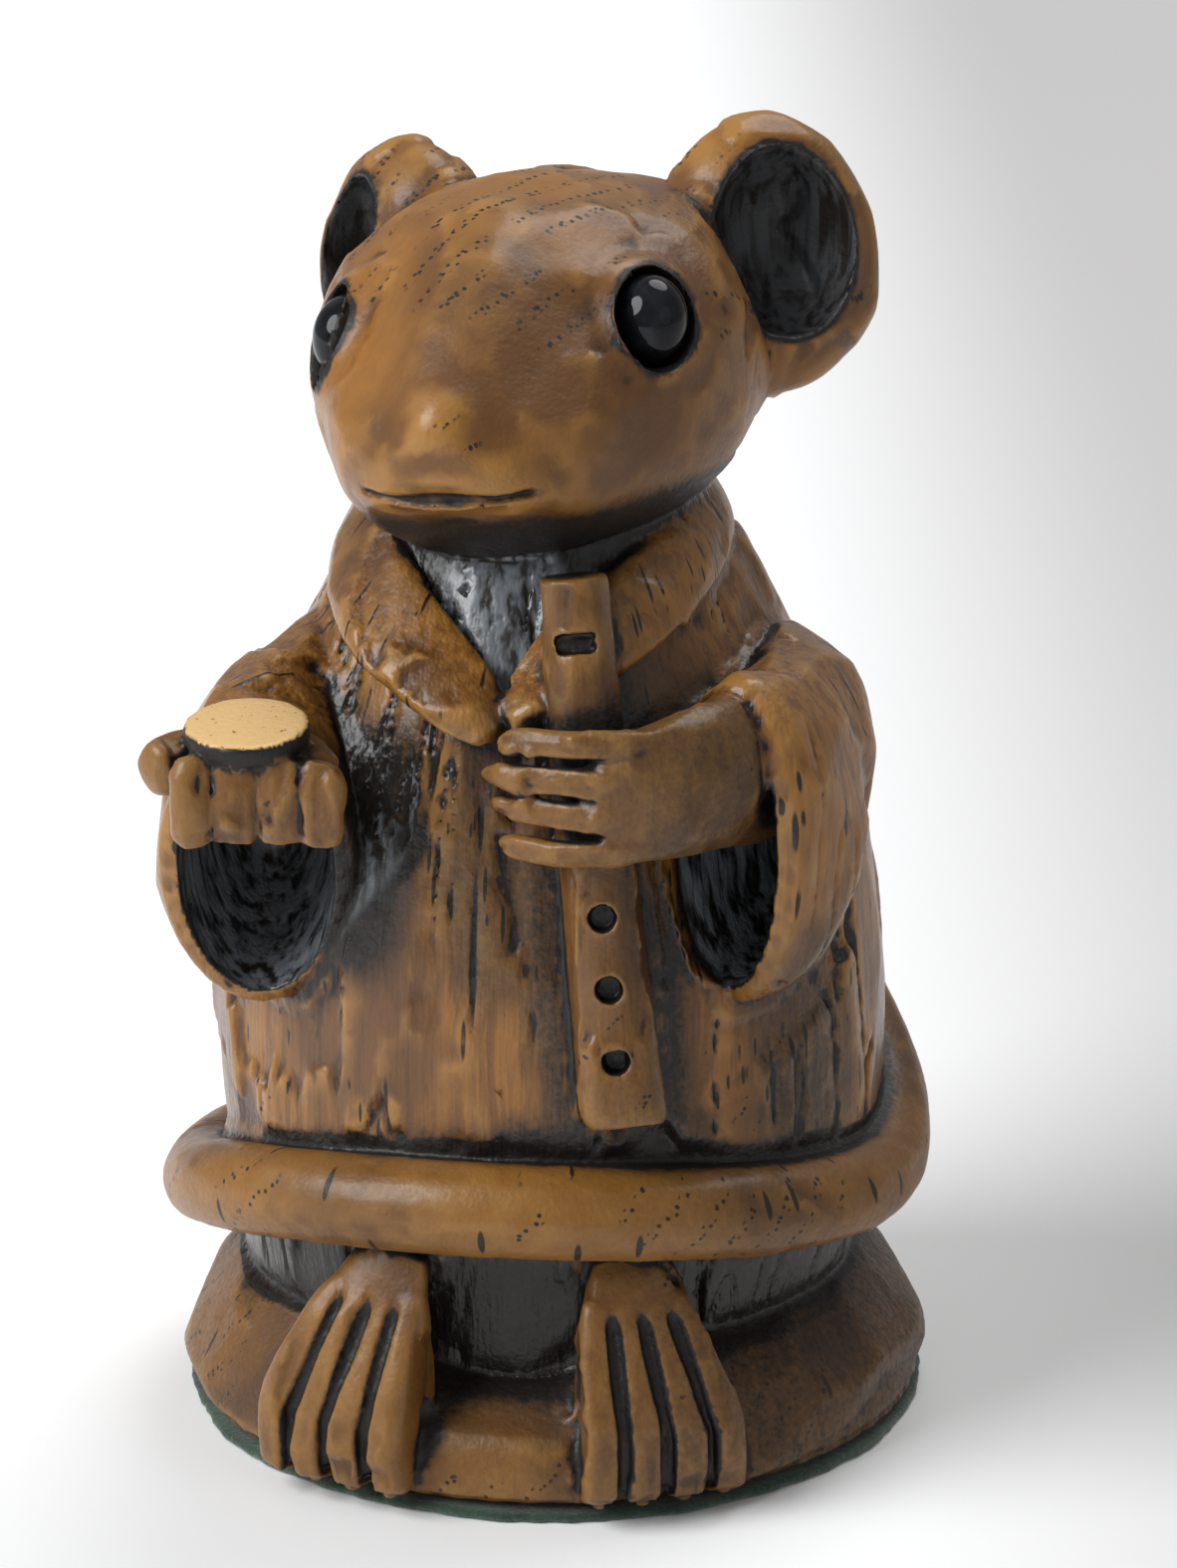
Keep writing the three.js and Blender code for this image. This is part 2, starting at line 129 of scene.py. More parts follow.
def smooth_rows(rows, t):
    """The row at a share t of the way, on a smooth curve through all the rows."""
    rows = np.asarray(rows, float)
    last = len(rows) - 1
    k = min(int(t * last), last - 1)
    u = t * last - k
    before = rows[k - 1] if k else 2 * rows[0] - rows[1]
    after = rows[k + 2] if k + 2 <= last else 2 * rows[last] - rows[last - 1]
    a, b = rows[k], rows[k + 1]
    ta, tb = (b - before) / 2, (after - a) / 2
    return (
        (2 * u**3 - 3 * u**2 + 1) * a
        + (u**3 - 2 * u**2 + u) * ta
        + (3 * u**2 - 2 * u**3) * b
        + (u**3 - u**2) * tb
    )


def round_end(distance, rounding):
    if not rounding or distance >= rounding:
        return 1.0
    return math.sqrt(max(0.0, 1 - (1 - distance / rounding) ** 2))


def sections(rows, steps, start=0.0, end=0.0, upward=lambda p: UP, tips=4):
    """Rings along rows of (x, y, z, width, height): place, sideways, upward and the two half sizes."""
    turns = [1 - math.cos(k / tips * math.pi / 2) for k in range(tips)]
    shares = [start * (FIRST_RING + v) for v in turns] if start else []
    shares += [start + k / steps * (1 - start - end) for k in range(steps + 1)]
    if end:
        shares += [1 - end * (FIRST_RING + v) for v in reversed(turns)]
    rings = []
    for t in shares:
        row = smooth_rows(rows, t)
        ahead, behind = smooth_rows(rows, min(1, t + LOOK_AHEAD)), smooth_rows(rows, max(0, t - LOOK_AHEAD))
        along = unit(ahead[:3] - behind[:3])
        side = unit(np.cross(along, upward(row[:3])))
        top = np.cross(side, along)
        size = round_end(t, start) * round_end(1 - t, end)
        rings.append((row[:3], side, top, max(row[3] * size, 0.02), max(row[4] * size, 0.02)))
    return rings


def select_rings(mesh, first, count):
    edit = bmesh.from_edit_mesh(mesh)
    for k, v in enumerate(edit.verts):
        v.select = first <= k < first + count
    edit.select_flush(False)
    edit.select_flush(True)
    bmesh.update_edit_mesh(mesh)


def ring_form(name, rings, sides, kind, squareness=2.0, keep=True):
    """Adds one circle to each section, bridges each to the next, closes both ends and smooths the form."""
    for k, (centre, side, top, width, height) in enumerate(rings):
        turn = Matrix((side, top, np.cross(side, top))).transposed()
        place = dict(location=centre, rotation=turn.to_euler())
        bpy.ops.mesh.primitive_circle_add(vertices=sides, radius=1, fill_type="NOTHING", **place)
        if k == 0:
            form = bpy.context.object
            form.name = name
            bpy.ops.object.transform_apply(location=True, rotation=True, scale=True)
            bpy.ops.object.mode_set(mode="EDIT")
        bpy.ops.transform.resize(
            value=(width, height, 1),
            orient_type="LOCAL",
            orient_matrix=turn,
            orient_matrix_type="LOCAL",
            center_override=centre,
        )
    mesh = form.data
    for k in range(len(rings) - 1):
        select_rings(mesh, k * sides, 2 * sides)
        bpy.ops.mesh.bridge_edge_loops()
    for first in (0, (len(rings) - 1) * sides):
        select_rings(mesh, first, sides)
        bpy.ops.mesh.edge_face_add()
    bpy.ops.object.mode_set(mode="OBJECT")
    if squareness != 2:
        square_off(mesh, rings, sides, squareness)
    bpy.ops.object.mode_set(mode="EDIT")
    bpy.ops.mesh.select_all(action="SELECT")
    bpy.ops.mesh.normals_make_consistent(inside=False)
    bpy.ops.object.mode_set(mode="OBJECT")
    smooth_once(form)
    if keep:
        forms.append((form.name, kind))
    return form


def turned(profile, radius=1, aside=0):
    """Rings round an upright axis, along (share of the radius, height)."""
    x, y = np.array([1.0, 0, 0]), np.array([0, 1.0, 0])
    return [(np.array([aside, 0, z]), x, y, share * radius, share * radius) for share, z in profile]


def square_off(mesh, rings, sides, squareness):
    """Pulls each ring out towards its corners, as a rounded square."""
    co = points_of(mesh)
    for k, (centre, side, top, width, height) in enumerate(rings):
        part = co[k * sides : (k + 1) * sides] - centre
        a, b = part @ side / width, part @ top / height
        reach = (np.abs(a) ** squareness + np.abs(b) ** squareness) ** (-1 / squareness)
        co[k * sides : (k + 1) * sides] = centre + part * reach[:, None]
    move_points(mesh, co)


def apply_modifier(form, kind, **settings):
    bpy.context.view_layer.objects.active = form
    modifier = form.modifiers.new(kind, kind)
    for key, value in settings.items():
        setattr(modifier, key, value)
    bpy.ops.object.modifier_apply(modifier=modifier.name)


def smooth_once(form):
    apply_modifier(form, "SUBSURF", levels=1, render_levels=1)


def ball_form(name, half_sizes, matrix, kind, segments=32, rings=20, keep=True):
    bpy.ops.mesh.primitive_uv_sphere_add(segments=segments, ring_count=rings, radius=1)
    form = bpy.context.object
    form.name = name
    form.data.transform(matrix @ Matrix.Diagonal((*half_sizes, 1)))
    if keep:
        forms.append((form.name, kind))
    return form


def carve(form, *cutters):
    """Cuts each cutter out of a form."""
    for cutter in cutters:
        apply_modifier(form, "BOOLEAN", operation="DIFFERENCE", solver="EXACT", object=cutter)


def discard(*objects):
    for o in objects:
        bpy.data.objects.remove(o, do_unlink=True)


def spin(degrees, axis):
    return Matrix.Rotation(math.radians(degrees), 4, axis)


def around(angle, radius, z):
    """A point at an angle from the front towards the mouse's left hand."""
    a = math.radians(angle)
    return np.array([radius * math.sin(a), -radius * math.cos(a), z])


# Places on the head; a side is 1 for the mouse's left and -1 for its right


def head_matrix():
    place = Matrix.Translation((0.5, 0, 65.4))
    return place @ spin(-8, "Z") @ spin(-4, "Y")


EAR_PLACE = {1: (12.0, 5.6, 3.7), -1: (-10.8, 5.6, 2.6)}
EYE_PLACE = {1: (9.2, -9.4, 2.9), -1: (-9.0, -9.4, 1.9)}
EYE_RADIUS = 2.3
EYE_CLEARANCE = 0.25
EYE_SIZE = Vector((0.95, 1, 1.13)) * EYE_RADIUS
EAR_SIZE = Vector((6.9, 4.4, 8.4))
EAR_CUP = {1: Vector((4.35, 4.84, 5.5)), -1: Vector((3.5, 4.84, 5.2))}


def ear_matrix(side):
    turn = spin(side * 36, "Z") @ spin(-10, "X")
    return head_matrix() @ Matrix.Translation(EAR_PLACE[side]) @ turn


def cup_matrix(side):
    out = {1: 0.1, -1: -1.5}[side]
    return ear_matrix(side) @ Matrix.Translation((out, -EAR_SIZE.y * 0.72, 0.6))


LID_SLANT = 14  # degrees by which the lids slant against the eye


def lid_matrix(side):
    return eye_matrix(side) @ spin(side * LID_SLANT, "Y")


def eye_matrix(side):
    turn = spin(side * 47, "Z") @ spin(-14, "X")
    tilt = spin(side * 14, "Y")
    return head_matrix() @ Matrix.Translation(EYE_PLACE[side]) @ turn @ tilt


# Settings that a user would change


def length(name, text, default, low, high):
    text += ", in mm"
    return bpy.props.FloatProperty(name=name, description=text, default=default, min=low, max=high)


def paint(name, text, rgb):
    return bpy.props.FloatVectorProperty(name=name, description=text, subtype="COLOR", size=3, default=rgb)


class MouseSizes(bpy.types.PropertyGroup):
    """Sizes of the carving, in millimetres"""

    grain: length("Carving Grain", "Size of the cells that the casting is fused from", 0.21, 0.15, 1)
    gouge_depth: length("Gouge Depth", "How deep the grooves of the grain go on the robe", 0.34, 0, 1)
    gouge_width: length("Gouge Width", "How wide a knife's stroke on the robe is", 3.1, 1, 8)
    coin_radius: length("Coin Radius", "Radius of the coin on the hand", 3.65, 2, 5)
    felt_radius: length("Felt Radius", "Radius of the felt under the mound", 22.95, 20, 26)


class MouseColours(bpy.types.PropertyGroup):
    """Colours of the finishes"""

    resin: paint("Resin", "Warm brown of the casting", (0.262, 0.106, 0.014))
    deep: paint("Deep Resin", "Darker brown that clouds the casting", (0.088, 0.033, 0.007))
    # Paler on raised edges: partly real rubbing, partly a painted highlight
    worn_and_highlight: paint("Worn and Highlit Edges", "Paler brown on raised edges, partly rubbed wear and partly a painted highlight", (0.36, 0.17, 0.034))
    # Dark staining in the hollows, and painted shade where little light gets in
    wash_and_shade: paint("Dark Wash and Painted Shade", "Dark staining in the hollows, and painted shade where little light gets in", (0.014, 0.011, 0.009))
    # A painted reflection: a pale bluish grey where the chest shines
    painted_reflection: paint("Painted Reflection", "Painted bluish reflection where the chest shines", (0.19, 0.21, 0.23))
    gilt: paint("Gilt", "Paint on top of the coin", (0.80, 0.53, 0.23))
    felt: paint("Felt", "Green of the felt", (0.022, 0.06, 0.032))


# Forms of the robe, mostly as rows of x, y, z, half width and half height, in mm


RIGHT_SLEEVE = [
    (-5, 4, 47.6, 4, 4),
    (-9.4, -1.6, 44.6, 5, 5.8),
    (-13.2, -8.2, 41, 5.3, 7.8),
    (-14.2, -14, 38.6, 5.7, 9.2),
    (-13.5, -19.3, 37.2, 5.9, 9.8),
]
LEFT_SLEEVE = [
    (5, 4.5, 46.6, 4, 4),
    (10.4, 2.4, 43.6, 5, 5.6),
    (15.2, -3.4, 41, 5.2, 8.2),
    (15.6, -10.4, 39.4, 5, 9.5),
    (13.2, -15.8, 39.2, 4.8, 10.1),
]
SLEEVE_WALL = 1.3
SLEEVE_HOLLOW = 12  # depth of a sleeve's mouth
ROBE_HALF_WIDTH, ROBE_HALF_DEPTH = 20.7, 20.0
TAIL_HALF_THICK = 2.9


def sleeve_hollow(name, rows):
    end, before = np.array(rows[-1], float), np.array(rows[-2], float)
    inward = unit(before[:3] - end[:3])

    def place(distance, tight):
        return (*(end[:3] + inward * distance), *((end[3:] - SLEEVE_WALL) * tight))

    cut = [place(-2, 1.02)]
    cut += [place(SLEEVE_HOLLOW * share, tight) for share, tight in ((0.3, 0.95), (0.7, 0.8), (1, 0.6))]
    return ring_form(name, sections(cut, 6, end=0.12), 28, CLOTH, keep=False)


class MOUSE_OT_robe(bpy.types.Operator):
    """Model the robe, its collar, its two bell sleeves and the tail round it"""

    bl_idname = "mouse.robe"
    bl_label = "Robe, Sleeves and Tail"

    def execute(self, context):
        shares = [
            *((0.2, 0, 4, 0.87, 0.87), (0.2, 0, 9, 0.92, 0.92), (0.3, 0, 14, 0.97, 0.97), (0.3, 0, 20, 1, 1)),
            *((0.3, 0, 27, 1, 1), (0.2, 0.1, 34, 0.965, 0.955), (0.1, 0, 41, 0.87, 0.89)),
            *((0.1, -0.3, 47, 0.73, 0.8), (0.1, -0.6, 51, 0.62, 0.7), (0.1, -0.8, 54.5, 0.53, 0.58)),
            *((0, -0.6, 58, 0.47, 0.5), (0, 0, 62, 0.42, 0.42)),
        ]
        rows = [(x, y, z, wide * ROBE_HALF_WIDTH, deep * ROBE_HALF_DEPTH) for x, y, z, wide, deep in shares]
        back = np.array([0.0, 1.0, 0.0])
        robe = ring_form("robe", sections(rows, 24, upward=lambda p: back), 48, CLOTH)
        hollows = []
        for name, rows in (("right_sleeve", RIGHT_SLEEVE), ("left_sleeve", LEFT_SLEEVE)):
            sleeve = ring_form(name, sections(rows, 12, start=0.08), 32, SLEEVE)
            hollow = sleeve_hollow(name + "_hollow", rows)
            carve(sleeve, hollow)
            hollows.append(hollow)
        carve(robe, *hollows)
        discard(*hollows)
        self.collar()
        self.tail()
        return {"FINISHED"}

    def collar(self):
        half = [
            (0.6, -18.3, 45.9, 1.3),
            (-1.8, -17.4, 48.3, 2.5),
            (-5.2, -15.2, 50.6, 3),
            (-8, -11.6, 52.6, 3),
            (-10.2, -5, 54.6, 2.6),
            (-9.6, 2.6, 55.6, 2.3),
            (-5.6, 8, 56.2, 2.2),
        ]
        back = [(-x, y + 0.4, z, wide - 0.3) for x, y, z, wide in half[2:]]
        back = [(1.2, -17.8, 46.6, 1.2), (3.0, -16.8, 48.8, 2.0), *back]
        thick = 0.9
        rows = [(x, y, z, thick, wide) for x, y, z, wide in [*half, (0, 9.6, 56.4, 2.2), *reversed(back)]]

        def lean(p):
            return unit(np.array([-p[0], -p[1], 16.0]))

        ring_form("collar", sections(rows, 48, upward=lean), 12, COLLAR, squareness=3.4)

    def tail(self):
        route = [
            *((176, -8, 31.5, 1.1), (158, -1.6, 26.4, 1.08), (135, 0.5, 21.8, 1.05), (110, 0.5, 17, 1.02)),
            *((84, 0.5, 14.8, 1), (56, 0.7, 16, 1), (28, 0.9, 17.7, 0.99), (0, 1.1, 18.3, 0.98)),
            *((-28, 0.9, 17.4, 0.97), (-52, 0.6, 15.3, 0.96), (-76, 0.4, 12.6, 0.93)),
            *((-100, 0.4, 11.3, 0.85), (-124, 0.3, 11, 0.72), (-144, 0, 11, 0.55), (-158, -0.2, 11.2, 0.36)),
        ]
        rows = []
        for angle, out, z, share in route:
            thick = TAIL_HALF_THICK * share
            rows.append((*around(angle, ROBE_HALF_WIDTH + out, z), thick, thick))
        ring_form("tail", sections(rows, 72, start=0.02, end=0.02), 16, TAIL)


# Forms of the head, as distance ahead of its middle, lift, half width and half height


HEAD_SECTIONS = [
    *((-12.9, 0, 1.2, 1.0), (-12.2, 0, 5, 4.4), (-8.5, -0.1, 10.4, 8.6), (-2, -0.6, 13, 10.5)),
    *((4, -0.9, 13.2, 10.6), (9, -1.5, 12, 9.8), (13, -2.3, 10.2, 8.3), (16.5, -2.7, 8.2, 6.5)),
    *((19, -2.6, 6.1, 4.7), (20.6, -2.3, 3.6, 2.8), (21.2, -2.1, 1.2, 0.9)),
]


class MOUSE_OT_head(bpy.types.Operator):
    """Model the head with its cupped ears, eye sockets and mouth"""

    bl_idname = "mouse.head"
    bl_label = "Head and Ears"

    def execute(self, context):
        place = head_matrix()
        rows = [(0, -ahead, lift, width, height) for ahead, lift, width, height in HEAD_SECTIONS]
        head = ring_form("head", sections(rows, 26), 32, SKIN, squareness=2.3)
        head.data.transform(place)
        mouth = self.mouth(place)
        hollows, sockets = [], []
        for side in (1, -1):
            ear = ball_form("ear", EAR_SIZE, ear_matrix(side), SKIN, 48, 32)
            hollow = ball_form("ear_hollow", EAR_CUP[side], cup_matrix(side), SKIN, 48, 32, keep=False)
            carve(ear, hollow)
            hollows.append(hollow)
            sockets += self.socket(side)
        carve(head, mouth, *hollows, *sockets)
        discard(mouth, *hollows, *sockets)
        return {"FINISHED"}

    def socket(self, side):
        reach = EYE_SIZE + Vector((1, 1, 1)) * 1.4 * EYE_CLEARANCE
        pocket = ball_form("pocket", reach, eye_matrix(side), SKIN, 32, 20, keep=False)
        lids = eye_matrix(side) @ Matrix.Translation((0, -EYE_RADIUS * 0.75, 0)) @ spin(side * LID_SLANT, "Y")
        almond = ball_form("almond", (2.7, EYE_RADIUS * 0.8, 3.2), lids, SKIN, 28, 16, keep=False)
        return [pocket, almond]

    def mouth(self, place):
        rows = []
        for side in (-1, -0.55, 0, 0.55, 1):
            deep = 0.35 + 0.5 * (1 - side * side)
            rows.append((5.4 * side, -21.2 + 1.9 * side * side, -5 + 0.2 * side * side, deep, 0.32))
        cut = ring_form("mouth", sections(rows, 12, start=0.1, end=0.1), 10, SKIN, keep=False)
        cut.data.transform(place)
        return cut


# Forms of the hands and what they hold


def finger(name, points, thick=0.9, tall=None, upward=UP):
    rows = [(*p, thick, tall or thick) for p in points]
    return ring_form(name, sections(rows, 6, 0.12, 0.12, lambda p: upward), 12, HAND)


WHISTLE_TOP, WHISTLE_END = np.array([4.5, -16.3, 55.2]), np.array([8.2, -20.2, 23.6])
WHISTLE_RADII = (2.0, 2.55)
WHISTLE_FRONT = np.array([0.16, -1, 0])


def whistle_radius(portion):
    return WHISTLE_RADII[0] + (WHISTLE_RADII[1] - WHISTLE_RADII[0]) * portion


def on_whistle(portion):
    """A frame on the whistle's front, a share of the way down, with its outward way along Z."""
    axis = WHISTLE_END - WHISTLE_TOP
    along = unit(axis)
    facing = unit(WHISTLE_FRONT - along * (WHISTLE_FRONT @ along))
    across = np.cross(along, facing)
    origin = WHISTLE_TOP + axis * portion + facing * whistle_radius(portion)
    frame4 = Matrix((across, along, facing)).transposed().to_4x4()
    frame4.translation = origin
    return frame4


class MOUSE_OT_hands(bpy.types.Operator):
    """Model the hand that closes over the whistle and the hand that holds out the coin"""

    bl_idname = "mouse.hands"
    bl_label = "Hands, Whistle and Coin"

    def execute(self, context):
        self.whistle()
        self.left_hand()
        self.right_hand()
        self.coin(context.scene.mouse_sizes.coin_radius)
        return {"FINISHED"}

    def whistle(self):
        rows = []
        for portion in (0, 0.35, 0.7, 1):
            radius = whistle_radius(portion)
            rows.append((*(WHISTLE_TOP + (WHISTLE_END - WHISTLE_TOP) * portion), radius, radius))
        rings = sections(rows, 8, upward=lambda p: WHISTLE_FRONT)
        rings = [rings[0], *rings, rings[-1]]
        pipe = ring_form("whistle", rings, 32, WOOD, squareness=2.5)
        cutters = []
        for portion in (0.61, 0.74, 0.87):
            bpy.ops.mesh.primitive_cylinder_add(vertices=24, radius=0.82, depth=2.8)
            hole = bpy.context.object
            hole.data.transform(on_whistle(portion))
            cutters.append(hole)
        bpy.ops.mesh.primitive_cube_add(size=1)
        window = bpy.context.object
        window.data.transform(on_whistle(0.115) @ Matrix.Diagonal((2.4, 1.15, 2.2, 1)))
        cutters.append(window)
        carve(pipe, *cutters)
        discard(*cutters)

    def left_hand(self):
        rows = [
            (15.4, -2.5, 40.5, 2.6, 3.2),
            (14.8, -9.5, 42.4, 2.8, 4.6),
            (13.4, -15.5, 43.9, 2.8, 4.7),
            (11.4, -19.4, 44, 2.3, 4.3),
            (8.4, -21.2, 43.8, 1.5, 4),
            (6.8, -21, 43.6, 1, 3.7),
        ]
        ring_form("left_palm", sections(rows, 10, 0.05, 0.08), 16, HAND)
        heights = [(47.1, 46.9, 46.5), (45, 44.7, 44.4), (42.9, 42.7, 42.5), (41, 40.4, 40.3)]
        reach = (-0.2, -1.3, -0.5, -0.3)
        for i, (knuckle, middle, tip) in enumerate(heights):
            points = [
                (10.6, -20.4, knuckle),
                (8.2, -21.9, (knuckle + middle) / 2),
                (5, -22, middle),
                (1.2 + reach[i], -20.2, tip),
            ]
            finger("left_finger", points, 0.84)

    def right_hand(self):
        rows = [
            (-14.4, -4.5, 41.4, 2.8, 2.6),
            (-14.4, -12, 42.6, 3, 2.6),
            (-13.6, -17.6, 43.9, 3.2, 2.5),
            (-12.2, -22, 45, 4.3, 1.9),
            (-11.4, -25.4, 45, 4.4, 1.3),
        ]
        ring_form("right_palm", sections(rows, 10, 0.05, 0.08), 16, HAND)
        front = np.array([0.0, -1.0, 0.0])
        for i in range(4):
            x, y = -15.6 + 2.45 * i, -26 + 0.3 * i
            curl = [(x, y + 0.5, 46.2), (x, y - 0.2, 44.9)]
            curl += [(x + 0.1, y - 0.2, 42.8), (x + 0.1, y + 0.4, 41.2)]
            finger("right_finger", curl, 1.25, 1.2, front)
        finger("thumb", [(-14.6, -20.5, 45.2), (-16.8, -22.4, 45.1), (-18.2, -24.6, 44.8)], 1.5, 1.75)

    def coin(self, radius):
        tilt = spin(8, "X")
        profile = [(0.3, -0.62), (0.6, -0.62), (0.92, -0.62), (0.98, -0.5), (1, 0.4), (0.98, 0.6)]
        profile += [(share, 0.65) for share in (0.93, 0.75, 0.5, 0.3, 0.12)]
        coin = ring_form("coin", turned(profile, radius), 40, COIN)
        coin.data.transform(Matrix.Translation((-12.9, -23.3, 47.1)) @ tilt)


# Forms of the base

FEET = ((-17.5, -22), (24.5, 27))  # angles of each foot's top and toes
TOE_SPREAD = (4.4, 6.2)  # degrees between the toes of a foot at their tops and at their ends
TOE_TOP = 12.6
TOE_RADIUS = 22.5  # how far out the toes lie, about


class MOUSE_OT_base(bpy.types.Operator):
    """Model the mound that the mouse stands on, with its two feet"""

    bl_idname = "mouse.base"
    bl_label = "Mound and Feet"

    def execute(self, context):
        radius, height = 23.0, 8.4
        profile = [(radius - 0.1, -0.3), (radius + 0.25, 0.3), (radius - 0.1, height * 0.26)]
        profile += [(radius - 0.9, height * 0.55), (radius - 2.1, height * 0.8)]
        profile += [(radius - 3.9, height), (radius - 9, height + 0.2)]
        mound = ring_form("mound", turned(profile, aside=-STANCE), 64, MOUND)
        for v in mound.data.vertices:
            angle = math.degrees(math.atan2(v.co.x, -v.co.y))
            v.co.z -= 2.1 * math.exp(-(((angle - 3) / 17) ** 4)) * soft(v.co.z, 3, 7.5)
        for top_angle, toe_angle in FEET:
            self.foot(top_angle, toe_angle)
        return {"FINISHED"}

    def foot(self, top_angle, toe_angle):
        outward = around(toe_angle, 1, 0)
        reach = 23.7

        def place(angle, back, z, width, height):
            return (*around(angle, reach - back, z), width, height)

        instep = [
            place(top_angle, 4.4, 14.4, 2.4, 1.8),
            place(top_angle, 3.2, 12, 3.5, 1.6),
            place((top_angle + toe_angle) / 2, 3.5, 7.4, 4.4, 1.2),
            place(toe_angle, 2.8, 0.3, 5, 1),
        ]
        ring_form("instep", sections(instep, 8, 0.08, upward=lambda p: outward), 16, FOOT)
        wide = 1.31
        for i in (-1.5, -0.5, 0.5, 1.5):
            top, low = top_angle + TOE_SPREAD[0] * i, toe_angle + TOE_SPREAD[1] * i
            toe = [
                place(top, 3.1, TOE_TOP, 0.78 * wide, 1.2),
                place((top + low) / 2 - 0.1 * i, 1.6, 9, 0.92 * wide, 1.6),
                place(low, 0.3, 4.8, wide, 1.6),
                place(low, 0, 0.1, 0.88 * wide, 1.3),
            ]
            rings = sections(toe, 8, 0.1, upward=lambda p: outward)
            ring_form("toe", rings, 16, FOOT, squareness=2.9)


# Patterns worked out per point


def scatter(cell, seed):
    """Random numbers from 0 to 1 for whole-number cells."""
    n = (cell[..., 0] * 73856093) ^ (cell[..., 1] * 19349663) ^ (cell[..., 2] * 83492791)
    n ^= seed * 2654435761
    n = (n ^ (n >> 13)) * 1274126177 & 0xFFFFFFFF
    n = (n ^ (n >> 16)) & 0xFFFFFFFF
    return n / 4294967295.0


FEWEST = 5  # a cell with no more points than this gets no facet
NONE_NEAR = 9.0  # stands for the push where no facet faces a point's way


def facets(co, normals, space, size, strength, tilt, seed):
    """Flattens the surface into planes that meet in ridges, as a knife does, one to each cell of space."""
    cell = np.floor(space / size).astype(np.int64)
    aim = np.stack([scatter(cell, 7 * seed + k) for k in range(3)], axis=1)
    key = (cell * (1, 4099, 16785407)).sum(axis=1)
    order = np.lexsort((lengths(space / size - cell - aim), key))
    first, count = np.unique(key[order], return_index=True, return_counts=True)[1:]
    seeds = order[first[count > FEWEST]]
    tree = search_tree(space[seeds])
    near = min(6, len(seeds))
    hits = [tree.find_n(p, near) for p in space]
    owners = np.array([[h[1] for h in hit] for hit in hits])
    away = np.array([[h[2] for h in hit] for hit in hits]) / size
    facing = np.zeros((len(seeds), 3))
    np.add.at(facing, owners[:, 0], normals)
    facing /= np.maximum(lengths(facing), 1e-9)[:, None]
    lean = np.stack([scatter(cell[seeds], 7 * seed + 3 + k) for k in range(3)], axis=1)
    facing += tilt * (lean - 0.5) * (3.4, 3.4, 1.4)
    facing /= lengths(facing)[:, None]
    push, best = np.full(len(co), NONE_NEAR), np.zeros(len(co))
    for k in range(near):
        own = owners[:, k]
        slant = dots(normals, facing[own])
        out = dots(co[seeds[own]] - co, facing[own]) / np.maximum(slant, 0.3)
        out += 0.8 * np.clip(away[:, k] - 0.8, 0, None) ** 2
        push = np.minimum(push, np.where(slant > 0.6, out, NONE_NEAR))
        best = np.maximum(best, slant)
    push = np.where(push > NONE_NEAR - 1, 0, push)
    return strength * np.clip(push - np.median(push), -0.45, 0.6) * soft(best, 0.7, 0.93)


class Neighbours:
    """Averages a value over the points that edges join."""

    def __init__(self, mesh):
        edges = np.empty(len(mesh.edges) * 2, np.int32)
        mesh.edges.foreach_get("vertices", edges)
        self.a, self.b = edges[0::2], edges[1::2]
        self.size = len(mesh.vertices)
        self.count = np.maximum(np.bincount(edges, minlength=self.size), 1)

    def mean(self, values):
        if values.ndim > 1:
            return np.stack([self.mean(column) for column in values.T], axis=1)
        total = np.bincount(self.a, values[self.b], self.size)
        total += np.bincount(self.b, values[self.a], self.size)
        return total / self.count

    def blur(self, values, rounds, share=0.6):
        for _ in range(rounds):
            values = (1 - share) * values + share * self.mean(values)
        return values


def near_line(points, start, end):
    """Distances of points from a stretch between two places."""
    start, end = np.array(start, float), np.array(end, float)
    way = end - start
    share = np.clip((points - start) @ way / max(way @ way, 1e-9), 0, 1)
    return lengths(points - start - share[:, None] * way)


def to_own_frame(points, matrix):
    inverse = np.array(matrix.inverted())
    return points @ inverse[:3, :3].T + inverse[:3, 3]


HEAD_LOW = 50  # no skin of the head lies below this height


def on_head(co, kinds):
    return (kinds == SKIN) & (co[:, 2] > HEAD_LOW)


def face_forms(co):
    """How far the face stands out or in, at its nose, brows, cheeks, lips and lids, in mm."""
    p = to_own_frame(co, head_matrix())
    p[:, 0] = np.abs(p[:, 0])
    push = np.zeros(len(p))
    # From, to, reach and height of each swelling
    swells = (
        ((0, -8, 8.4), (0, -20, -0.4), 2.2, 0.6),
        ((6.2, -13, 3.9), (4.4, -18.4, 0.6), 2.6, -0.35),
        ((9.6, -13.4, -2), (9.6, -13.4, -2), 3.2, -0.45),
        ((6.4, -11.2, 6.4), (11.4, -7.2, 5.8), 1.5, 0.3),
        ((0, -20.8, -0.8), (0, -20.8, -0.8), 2.1, 0.6),
        ((3.6, -20, -1), (3.6, -20, -1), 1.7, -0.15),
        ((2.8, -20, -3.5), (2.8, -20, -3.5), 1.6, 0.25),
        ((0, -19.9, -6), (3.8, -19.4, -5.9), 0.8, 0.25),
        ((0, -18.6, -7.6), (4.8, -17.4, -7.2), 1.5, -0.4),
    )
    for start, end, reach, height in swells:
        push += height * np.exp(-((near_line(p, start, end) / reach) ** 2))
    # Facing of the flats over the brows and under the chin, and how far out they lie
    flats = (((0.562, -0.488, 0.666), 11.7), ((0, -0.6, -0.8), 16.0))
    for facing, out in flats:
        push -= 0.6 * np.clip(p @ facing - out, 0, 2)
    for side in (1, -1):
        away = lengths(to_own_frame(co, eye_matrix(side)) * (1, 0.6, 0.85))
        push *= 0.35 + 0.65 * soft(away, 2.6, 4.4)
    return push


